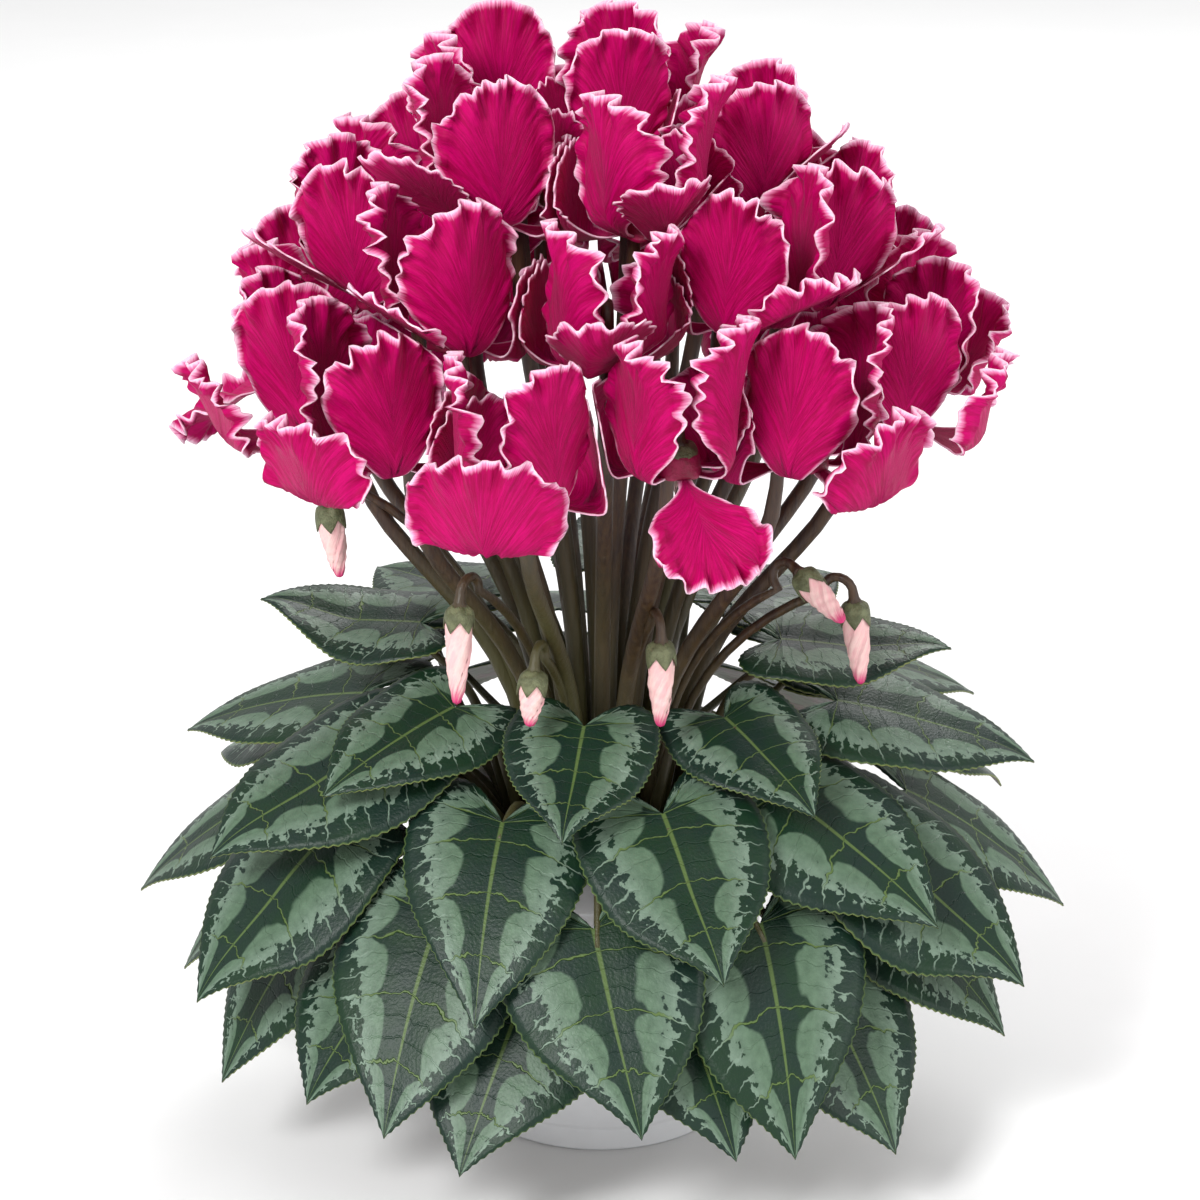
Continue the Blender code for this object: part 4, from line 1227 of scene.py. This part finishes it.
@dataclass
class Blooms:
    """Frilled blooms: each a short tube with its mouth down and five petals turned back from it."""

    finishes: Finishes
    seed: int = 25
    first_petal: float = 50
    petal_spacing: float = 65
    petal_length: float = 0.064
    petal_half_width: float = 0.0270
    inner_width: float = 0.82
    petal_thickness: float = 0.00055
    outer_curl: float = 0.052
    inner_curl: float = 0.034
    outer_bend: float = 0.57
    inner_bend: float = 0.30
    petal_start: float = 0.0066
    claw_slope: float = -18.0
    claw_bend: float = 0.32
    claw_width: float = 0.115
    widening: tuple = (0.05, 0.58)
    widening_power: float = 0.85
    outer_lean: tuple = (79, 87)
    inner_lean: tuple = (86, 91)
    petal_turn: float = 2
    petal_twist: float = 6
    hanging_outside: float = 0.9
    hanging_every: int = 4
    hanging_index: int = 2
    hanging_lean: float = -26.0
    hanging_size: float = 0.80
    rolls: tuple = ((-28, -4), (-12, 4), (-18, -2), (-12, 4), (-28, -4))
    corner_cut: float = 0.26
    corner_power: float = 2.4
    wave: float = 0.0030
    wave_pace: float = 9.5
    wave_slant: float = 6.0
    ruffle: float = 0.0015
    ruffle_pace: float = 640.0
    ruffle_reach: float = 0.013
    tooth: float = 0.00025
    tooth_columns: int = 3
    billow: float = 0.0022
    billow_pace: float = 3.6
    billow_slant: float = 3.0
    billow_run: tuple = (0.35, 0.85)
    edge_rise: float = 0.3
    edge_half: float = 0.2
    edge_power: float = 0.68
    row_power: float = 0.72
    rib_reach: float = 0.52
    chart_petal: float = 20.0
    chart_bloom: float = 100.0
    tube_length: float = 0.0095
    mouth_radius: float = 0.0078
    tube_top_radius: float = 0.0058
    cell_gap: float = 0.0011
    cell_soft: float = 0.86
    cell_centre: float = 0.016
    columns: int = 108
    rows: int = 8

    def draw_petals(self, bloom: Bloom) -> list[Petal]:
        """Give the five petals of a bloom, with a wider space where the stem comes up."""
        draw = random.Random(self.seed * 100 + bloom.number)
        low = bloom.outside > self.hanging_outside and bloom.number % self.hanging_every == 0
        petals = []
        for index in range(5):
            kind = PetalKind.INNER if index % 2 == 1 else PetalKind.OUTER
            if low and index == self.hanging_index:
                kind = PetalKind.HANGING
            shift = draw.uniform(-self.petal_turn, self.petal_turn)
            if kind is PetalKind.HANGING:
                lean = self.hanging_lean
            elif kind is PetalKind.INNER:
                lean = draw.uniform(*self.inner_lean)
            else:
                lean = draw.uniform(*self.outer_lean)
            shrink = self.hanging_size if kind is PetalKind.HANGING else 1.0
            petals.append(
                Petal(
                    kind=kind,
                    turn=self.first_petal + index * self.petal_spacing + shift,
                    lean=lean,
                    roll=draw.uniform(*self.rolls[index]),
                    twist=draw.uniform(-self.petal_twist, self.petal_twist),
                    size=draw.uniform(*SIZE_SPREAD) * shrink,
                    phase=draw.uniform(0, math.tau),
                )
            )
        return petals

    def spine(self, petal: Petal, share: np.ndarray) -> tuple[np.ndarray, np.ndarray, np.ndarray]:
        """Give the radius, height and slope of the petal's middle line at shares of its length."""
        steps = 14
        bend = self.inner_bend if petal.is_inner else self.outer_bend
        radius = np.full_like(share, self.petal_start)
        height = np.full_like(share, -self.tube_length)
        slope = np.zeros_like(share)
        stride = self.petal_length * petal.size * share / steps
        for step in range(steps):
            run = share * (step + 0.5) / steps
            bent = smooth_step(bend - self.claw_bend, bend, run)
            turn = self.claw_slope + (petal.lean - self.claw_slope) * bent
            slope = np.radians(turn + petal.roll * smooth_step(0.4, 1.0, run))
            radius = radius + stride * np.cos(slope)
            height = height + stride * np.sin(slope)
        return radius, height, slope

    def petal_points(
        self, petal: Petal, share: np.ndarray, side: np.ndarray, lift: np.ndarray
    ) -> np.ndarray:
        """Give points of the petal in its bloom's own frame.

        Args:
            petal: The petal.
            share: From 0 at the claw to 1 at the tip.
            side: From -1 at one edge to 1 at the other.
            lift: How far each point is ruffled out of the surface.

        Returns:
            The points, one a row.
        """
        reach = share * (1.0 - self.corner_cut * np.abs(side) ** self.corner_power * share)
        radius, height, slope = self.spine(petal, reach)
        grow = smooth_step(*self.widening, reach) ** self.widening_power
        width = self.petal_half_width * (self.inner_width if petal.is_inner else 1.0)
        across = side * width * petal.size * (self.claw_width + (1.0 - self.claw_width) * grow)
        curl = self.inner_curl if petal.is_inner else self.outer_curl
        flat = curl * np.sin(across / curl)
        flank = smooth_step(0.55, 1.0, np.abs(side)) * smooth_step(0.3, 0.6, share)
        edge = np.maximum(smooth_step(0.72, 1.0, share), flank)
        swell = np.sin(self.wave_pace * side + self.wave_slant * share * side + petal.phase)
        off = -curl * (1.0 - np.cos(across / curl)) + self.wave * edge * swell + lift
        twist = math.radians(petal.twist) * smooth_step(0.15, 0.8, reach)
        sideways = flat * np.cos(twist) - off * np.sin(twist)
        outward = flat * np.sin(twist) + off * np.cos(twist)
        radius = radius + outward * np.sin(slope)
        height = height - outward * np.cos(slope)
        turn = math.radians(petal.turn)
        x = radius * math.cos(turn) - sideways * math.sin(turn)
        y = radius * math.sin(turn) + sideways * math.cos(turn)
        return np.column_stack((x, y, height))

    def keep_in_cell(self, points: np.ndarray, bloom: Bloom, blooms: list[Bloom]) -> np.ndarray:
        """Draw points back towards their bloom's middle, so that they stay clear of the others."""
        centre = np.array(bloom.place + bloom.axis * self.cell_centre)
        arm = points - centre
        fill = np.zeros(len(points))
        for other in blooms:
            if other is bloom:
                continue
            across = np.array(other.place + other.axis * self.cell_centre) - centre
            length = np.linalg.norm(across)
            fill = np.maximum(fill, arm @ across / length / (length / 2 - self.cell_gap))
        room = 1.0 - self.cell_soft
        soft = self.cell_soft + room * (1.0 - np.exp(-(fill - self.cell_soft) / room))
        shrink = np.where(fill > self.cell_soft, soft / np.maximum(fill, 1e-9), 1.0)
        return centre + arm * shrink[:, None]

    def edge_path(self, u: np.ndarray) -> tuple[np.ndarray, np.ndarray]:
        """Give share and side along the petal's edge, from one end of the claw round to the other."""
        rise = np.minimum(np.minimum(u, 1.0 - u) / self.edge_rise, 1.0)
        side = np.clip((u - 0.5) / self.edge_half, -1.0, 1.0)
        return rise**self.edge_power, side

    def petal(self, petal: Petal, bloom: Bloom, blooms: list[Bloom], index: int) -> bpy.types.Object:
        """Make one petal as a fan of rows that follow its ruffled edge.

        Args:
            petal: The petal.
            bloom: The bloom that it grows on.
            blooms: Every bloom of the plant.
            index: The petal's index in its bloom.

        Returns:
            The petal, thickened and dressed.
        """
        draw = random.Random(1000 * bloom.number + index)
        tones = [(draw.uniform(0.55, 1.45), draw.uniform(0.0, math.tau)) for _ in range(4)]
        knots = [draw.uniform(-1.0, 1.0) for _ in range(self.columns // self.tooth_columns + 2)]
        spots = np.arange(self.columns + 1) / self.tooth_columns
        teeth = np.interp(spots, np.arange(len(knots)), knots)
        billow_turn = draw.uniform(0.0, math.tau)
        chart_of = {}

        def place(u: np.ndarray, v: np.ndarray) -> np.ndarray:
            row = v**self.row_power
            edge_share, edge_side = self.edge_path(u)
            rib = self.rib_reach * smooth_step(0.0, 1.0, np.minimum(u, 1.0 - u) * 2.0)
            column = np.round(u * self.columns).astype(int)
            bite = teeth[column] * self.tooth / self.petal_length * smooth_step(0.9, 1.0, row)
            share = rib + (edge_share * (1.0 + bite * 1.6) - rib) * row
            side = edge_side * row * (1.0 + bite)
            base = self.petal_points(petal, share, side, np.zeros_like(u))
            grid = base[np.lexsort((v, column))].reshape(self.columns + 1, self.rows + 1, 3)
            steps = np.linalg.norm(np.diff(grid, axis=1), axis=2)
            outside = np.cumsum(steps[:, ::-1], axis=1)[:, ::-1]
            left = np.column_stack((outside, np.zeros(len(steps))))
            edge_steps = np.linalg.norm(np.diff(grid[:, -1], axis=0), axis=1)
            run = np.concatenate(([0.0], np.cumsum(edge_steps)))
            level = np.round(v * self.rows).astype(int)
            distance = left[column, level]
            along = run[column]
            ruffle = sum(
                np.sin(along * self.ruffle_pace * tone + shift) / (1.0 + 0.5 * order)
                for order, (tone, shift) in enumerate(tones)
            )
            fade = smooth_step(self.ruffle_reach, 0.0, distance) * smooth_step(0.25, 0.6, edge_share)
            turn = self.billow_pace * side + self.billow_slant * share + billow_turn
            swell = np.sin(turn) * smooth_step(*self.billow_run, share)
            lift = self.ruffle * fade * ruffle + self.billow * swell
            points = self.petal_points(petal, share, side, lift)
            map_along = along * 100.0 + self.chart_petal * index + self.chart_bloom * bloom.number
            chart_of["edge"] = np.column_stack((map_along, distance * 100.0))
            return self.keep_in_cell(bloom.to_plant(points), bloom, blooms)

        def chart(u: np.ndarray, v: np.ndarray) -> np.ndarray:
            return chart_of["edge"]

        piece = shaped_grid(f"petal_{bloom.number}_{index}", self.columns, self.rows, place, chart)
        weld(piece, 0.00001)
        dress(piece, [self.finishes.petal, self.finishes.petal_rim])
        thicken(piece, self.petal_thickness, rim=1)
        return piece

    def tube(self, bloom: Bloom) -> bpy.types.Object:
        """Make the bloom's short tube, closed at the calyx and open at its mouth."""

        def place(u: np.ndarray, v: np.ndarray) -> np.ndarray:
            turn = u * math.tau
            flare = self.tube_top_radius + (self.mouth_radius - self.tube_top_radius) * v**0.6
            radius = flare * smooth_step(-0.02, 0.10, v)
            height = -0.0012 - (self.tube_length - 0.0012) * v - 0.0004 * np.cos(5 * turn) * v
            local = np.column_stack((radius * np.cos(turn), radius * np.sin(turn), height))
            return bloom.to_plant(local)

        piece = shaped_grid(f"tube_{bloom.number}", 30, 8, place, plain_chart)
        weld(piece, 0.00001)
        dress(piece, [self.finishes.throat])
        thicken(piece, 0.0008)
        return piece

    def build(self) -> list[Bloom]:
        """Make every bloom and give the list of them."""
        blooms = draw_blooms(self.seed)
        for bloom in blooms:
            pieces = [self.tube(bloom)]
            for index, petal in enumerate(self.draw_petals(bloom)):
                pieces.append(self.petal(petal, bloom, blooms, index))
            made = join(f"dressed_bloom_{bloom.number:02d}", pieces)
            hand_over(made, [f"bloom_{bloom.number:02d}"])
        return blooms


# Buds, stems and corm


@dataclass(frozen=True)
class Bud:
    """One bud: its place in plan, the top of its hook, its length and the way that it points."""

    x: float
    y: float
    top: float
    length: float
    lean: float

    def down(self) -> Vector:
        """Give the way that the bud points, from its calyx to its tip."""
        out = Vector((self.x, self.y, 0.0)).normalized()
        lean = math.radians(self.lean)
        return Vector((out.x * math.sin(lean), out.y * math.sin(lean), -math.cos(lean)))

    def back(self) -> Vector:
        """Give the way from the bud to its stem."""
        out = Vector((self.x, self.y, 0.0)).normalized()
        down = self.down()
        return -(out - down * out.dot(down)).normalized()


BUDS = (
    Bud(-0.048, -0.078, 0.231, 0.034, 4),
    Bud(-0.023, -0.070, 0.204, 0.018, 14),
    Bud(0.021, -0.068, 0.214, 0.030, 0),
    Bud(0.070, -0.058, 0.236, 0.022, 55),
    Bud(0.089, -0.044, 0.220, 0.029, 6),
    Bud(-0.095, -0.030, 0.251, 0.026, -8),
    Bud(0.030, 0.074, 0.242, 0.026, 5),
    Bud(-0.055, 0.062, 0.238, 0.022, 8),
)


@dataclass
class Buds:
    """Furled buds that hang from their hooks."""

    finishes: Finishes
    radius: float = 0.0046
    hook: float = 0.0058
    twist: float = 1.6
    furl: float = 0.16
    petals: int = 5
    around: int = 45
    rows: int = 34

    def top(self, bud: Bud) -> Vector:
        """Give the top of a bud, where its calyx is."""
        return Vector((bud.x, bud.y, bud.top - self.hook * 1.6))

    def place_bud(self, bud: Bud) -> Placer:
        """Give the function that places a bud's grid: u around it and v along it."""
        axes = np.array([bud.back(), bud.down().cross(bud.back()), bud.down()])
        top = np.array(self.top(bud))
        stations = (0.0, 0.03, 0.16, 0.45, 0.72, 0.90, 0.97, 1.0)
        widths = (0.0, 0.74, 1.0, 0.94, 0.70, 0.46, 0.30, 0.0)

        def place(u: np.ndarray, v: np.ndarray) -> np.ndarray:
            width = np.interp(v, stations, widths)
            turn = u * math.tau + self.twist * 2.0 * v
            lap = (u * self.petals + 0.35 * v) % 1.0
            frill = 0.05 * np.sin(v * 46.0 + 9.0 * u) * smooth_step(0.25, 0.7, v)
            radius = self.radius * width * (1.0 + self.furl * (lap - 0.5) + frill)
            local = np.column_stack((radius * np.cos(turn), radius * np.sin(turn), v * bud.length))
            return local @ axes + top

        return place

    def build(self) -> None:
        """Make every bud."""
        for number, bud in enumerate(BUDS, start=1):
            name = f"bud_body_{number}"
            piece = shaped_grid(name, self.around, self.rows, self.place_bud(bud), plain_chart)
            weld(piece, 0.000005, outwards=True)
            dress(piece, [self.finishes.bud])
            made = join(f"dressed_bud_{number:02d}", [piece])
            hand_over(made, [f"bud_{number:02d}"])


@dataclass
class CormAndStems:
    """The corm, and the flower and bud stems that grow out of its crown with their calyxes."""

    finishes: Finishes
    blooms: list[Bloom]
    buds: Buds
    crown_top: float = 0.108
    crown_radius: float = 0.026
    shoulder_top: float = 0.097
    corm_radius: float = 0.041
    corm_bottom: float = 0.070
    stem_radius: float = 0.0029
    stem_side: float = 0.0122
    hook_rise: float = 0.0042
    hook_height: float = 0.45
    hook_thinning: float = 0.72
    pull_up: float = 0.58
    pull_back: float = 0.28
    tube_length: float = 0.0095
    tube_top_radius: float = 0.0058
    bud_stem_radius: float = 0.0017
    stem_sides: int = 10

    def corm(self) -> bpy.types.Object:
        """Make the corky corm."""
        outline = (
            (0.0, self.crown_top),
            (self.crown_radius, self.crown_top),
            (self.crown_radius + 0.001, self.shoulder_top),
            (self.corm_radius - 0.001, self.shoulder_top),
            (self.corm_radius, self.shoulder_top - 0.006),
            (self.corm_radius - 0.012, self.corm_bottom + 0.004),
            (0.0, self.corm_bottom),
        )
        radii, heights = zip(*outline)
        stations = np.linspace(0.0, 1.0, len(radii))

        def place(u: np.ndarray, v: np.ndarray) -> np.ndarray:
            turn = u * math.tau
            radius = np.interp(v, stations, radii)
            height = np.interp(v, stations, heights)
            dent = 1.0 - 0.03 * np.sin(7 * turn) ** 2 * np.sin(math.pi * v)
            return np.column_stack((radius * dent * np.cos(turn), radius * dent * np.sin(turn), height))

        piece = shaped_grid("corm_body", 48, 24, place, plain_chart)
        weld(piece, 0.00001, outwards=True)
        dress(piece, [self.finishes.corm])
        return piece

    def flower_stem(self, bloom: Bloom) -> bpy.types.Object:
        """Make the stem of a bloom, from the crown over its hook to the top of the tube."""
        start = bloom.foot + Vector((0.0, 0.0, self.crown_top - 0.003))
        end = bloom.place + bloom.inward * self.stem_side - bloom.axis * (self.tube_length + 0.012)
        reach = (end - start).length
        pull_start = start + Vector((0.0, 0.0, reach * self.pull_up))
        pull_end = end - bloom.axis * reach * self.pull_back
        points = []
        for step in range(13):
            t = step / 12
            low = start * (1 - t) ** 3 + pull_start * 3 * t * (1 - t) ** 2
            points.append(low + pull_end * 3 * t**2 * (1 - t) + end * t**3)
        thick = len(points)
        middle = bloom.place + bloom.axis * self.hook_rise + bloom.inward * self.stem_side / 2
        for angle in range(0, 181, 18):
            turn = math.radians(angle)
            side = bloom.inward * self.stem_side / 2 * math.cos(turn)
            points.append(middle + side + bloom.axis * self.stem_side * self.hook_height * math.sin(turn))
        points.append(bloom.place + bloom.axis * (self.hook_rise * 0.5))
        points.append(bloom.place + bloom.axis * GAP)
        thin = self.stem_radius * self.hook_thinning
        radii = [self.stem_radius] * (thick - 1) + [(self.stem_radius + thin) / 2]
        radii += [thin] * (len(points) - thick - 2) + [thin * 1.15, self.tube_top_radius * 0.8]
        return tube_along(f"stem_{bloom.number}", points, radii, self.stem_sides, self.finishes.stem)

    def calyx(
        self, name: str, top: Vector, axes: np.ndarray, neck: float, rim: float, length: float
    ) -> bpy.types.Object:
        """Make a calyx: a small cup with five pointed sepals.

        Args:
            name: Name of the new object.
            top: Where the stem meets the cup.
            axes: Two axes across the cup and the one down it, as rows.
            neck: The cup's radius at the stem.
            rim: The cup's radius at the sepals.
            length: How far the sepals' points reach.

        Returns:
            The calyx, thickened and dressed.
        """
        stations = (0.0, 0.25, 0.6, 1.0)
        widths = (neck, rim * 0.86, rim, rim * 0.98)

        def place(u: np.ndarray, v: np.ndarray) -> np.ndarray:
            turn = u * math.tau
            point = 1.0 - np.abs((u * 5.0) % 1.0 - 0.5) * 2.0
            down = length * v * (0.55 + 0.45 * point)
            radius = np.interp(v, stations, widths) + 0.0003 * point * v
            local = np.column_stack((radius * np.cos(turn), radius * np.sin(turn), down))
            return local @ axes + np.array(top)

        piece = shaped_grid(name, 40, 6, place, plain_chart)
        weld(piece, 0.00001)
        dress(piece, [self.finishes.calyx])
        thicken(piece, 0.0004)
        return piece

    def bud_stem(self, number: int, bud: Bud) -> list[bpy.types.Object]:
        """Make the hooked stem of a bud, with its calyx."""
        top, back, down = self.buds.top(bud), bud.back(), bud.down()
        azimuth = math.degrees(math.atan2(bud.y, bud.x))
        start = polar(self.crown_radius - 0.0035, azimuth, self.crown_top - 0.003)
        rise = self.buds.hook * 0.8
        side = back * self.buds.hook * 2
        end = top - down * rise + side
        bend = Vector((start.x * 1.15, start.y * 1.15, start.z + (end.z - start.z) * 0.72))
        points = []
        for step in range(12):
            t = step / 11
            points.append(start * (1 - t) ** 2 + bend * 2 * t * (1 - t) + end * t**2)
        middle = top - down * rise + side / 2
        for angle in range(20, 161, 20):
            turn = math.radians(angle)
            points.append(middle + side / 2 * math.cos(turn) - down * self.buds.hook * math.sin(turn))
        points.append(top - down * 0.0030)
        points.append(top - down * GAP)
        thin = self.bud_stem_radius
        radii = [thin] * (len(points) - 2) + [thin * 1.2, self.buds.radius * 0.8]
        stem = tube_along(f"bud_stem_{number}", points, radii, 8, self.finishes.stem)
        axes = np.array([back, down.cross(back), down])
        place = top - down * 0.0022
        cup = self.calyx(f"bud_calyx_{number}", place, axes, thin, self.buds.radius + 0.0005, 0.0095)
        return [stem, cup]

    def build(self) -> None:
        """Make the corm with all its stems as one piece."""
        pieces = [self.corm()]
        for bloom in self.blooms:
            pieces.append(self.flower_stem(bloom))
            axes = np.array([bloom.inward, -bloom.axis.cross(bloom.inward), -bloom.axis])
            place = bloom.place + bloom.axis * 0.0012
            rim = self.tube_top_radius + 0.0007
            pieces.append(self.calyx(f"calyx_{bloom.number}", place, axes, self.stem_radius, rim, 0.0065))
        for number, bud in enumerate(BUDS, start=1):
            pieces += self.bud_stem(number, bud)
        made = join("dressed_corm_and_stems", pieces)
        hand_over(made, ["corm_and_stems"])


# Studio


@dataclass
class Studio:
    """Pale floor, soft light and a camera a little above the plant."""

    finishes: Finishes
    elevation: float = 20.0
    distance: float = 1.6
    target_height: float = 0.197
    frame_width: float = 0.432
    sensor: float = 36.0
    floor_size: float = 12.0
    sky: float = 0.75

    def lay_floor(self) -> None:
        """Lay the floor just under the pot."""
        start_afresh()
        bpy.ops.mesh.primitive_plane_add(size=self.floor_size, location=(0.0, 0.0, -0.0002))
        floor = bpy.context.active_object
        floor.name = "studio_floor"
        dress(floor, [self.finishes.studio])

    def hang_light(self, name: str, place: Vector, size: float, power: float) -> None:
        """Hang one soft area light that faces the plant."""
        start_afresh()
        bpy.ops.object.light_add(type="AREA", location=place)
        lamp = bpy.context.active_object
        lamp.name = name
        lamp.data.size = size
        lamp.data.energy = power
        aim = Vector((0.0, 0.0, self.target_height)) - place
        lamp.rotation_euler = aim.to_track_quat("-Z", "Y").to_euler()

    def light_sky(self) -> None:
        """Light the whole scene evenly from a white surround."""
        world = bpy.data.worlds.new("white_surround")
        world.use_nodes = True
        world.node_tree.nodes["Background"].inputs["Color"].default_value = (1.0, 1.0, 1.0, 1.0)
        world.node_tree.nodes["Background"].inputs["Strength"].default_value = self.sky
        bpy.context.scene.world = world
        bpy.context.scene.view_settings.view_transform = "Standard"

    def set_camera(self) -> None:
        """Stand the camera in front of the plant."""
        rise = math.radians(self.elevation)
        target = Vector((0.0, 0.0, self.target_height))
        away = Vector((0.0, -math.cos(rise), math.sin(rise)))
        start_afresh()
        bpy.ops.object.camera_add(location=target + away * self.distance)
        camera = bpy.context.active_object
        camera.rotation_euler = (-away).to_track_quat("-Z", "Y").to_euler()
        camera.data.sensor_width = self.sensor
        camera.data.lens = self.sensor * self.distance / self.frame_width
        bpy.context.scene.camera = camera

    def build(self) -> None:
        """Set up the whole studio."""
        self.lay_floor()
        self.hang_light("key_light", Vector((-0.9, -1.5, 1.5)), 0.6, 34.0)
        self.hang_light("fill_light", Vector((1.5, -0.9, 0.8)), 1.0, 9.0)
        self.hang_light("back_light", Vector((0.3, 1.4, 1.3)), 0.8, 14.0)
        self.light_sky()
        self.set_camera()


def main() -> None:
    """Build the dressed plant, its pot and the studio, in order."""
    logging.basicConfig(level=logging.INFO, format="%(name)s: %(message)s")
    finishes = Finishes()
    pot = Pot(finishes)
    pot.build()
    Soil(finishes, pot).build()
    LeafTufts(finishes).build()
    blooms = Blooms(finishes).build()
    buds = Buds(finishes)
    buds.build()
    CormAndStems(finishes, blooms, buds).build()
    Studio(finishes).build()


if __name__ == "__main__":
    main()
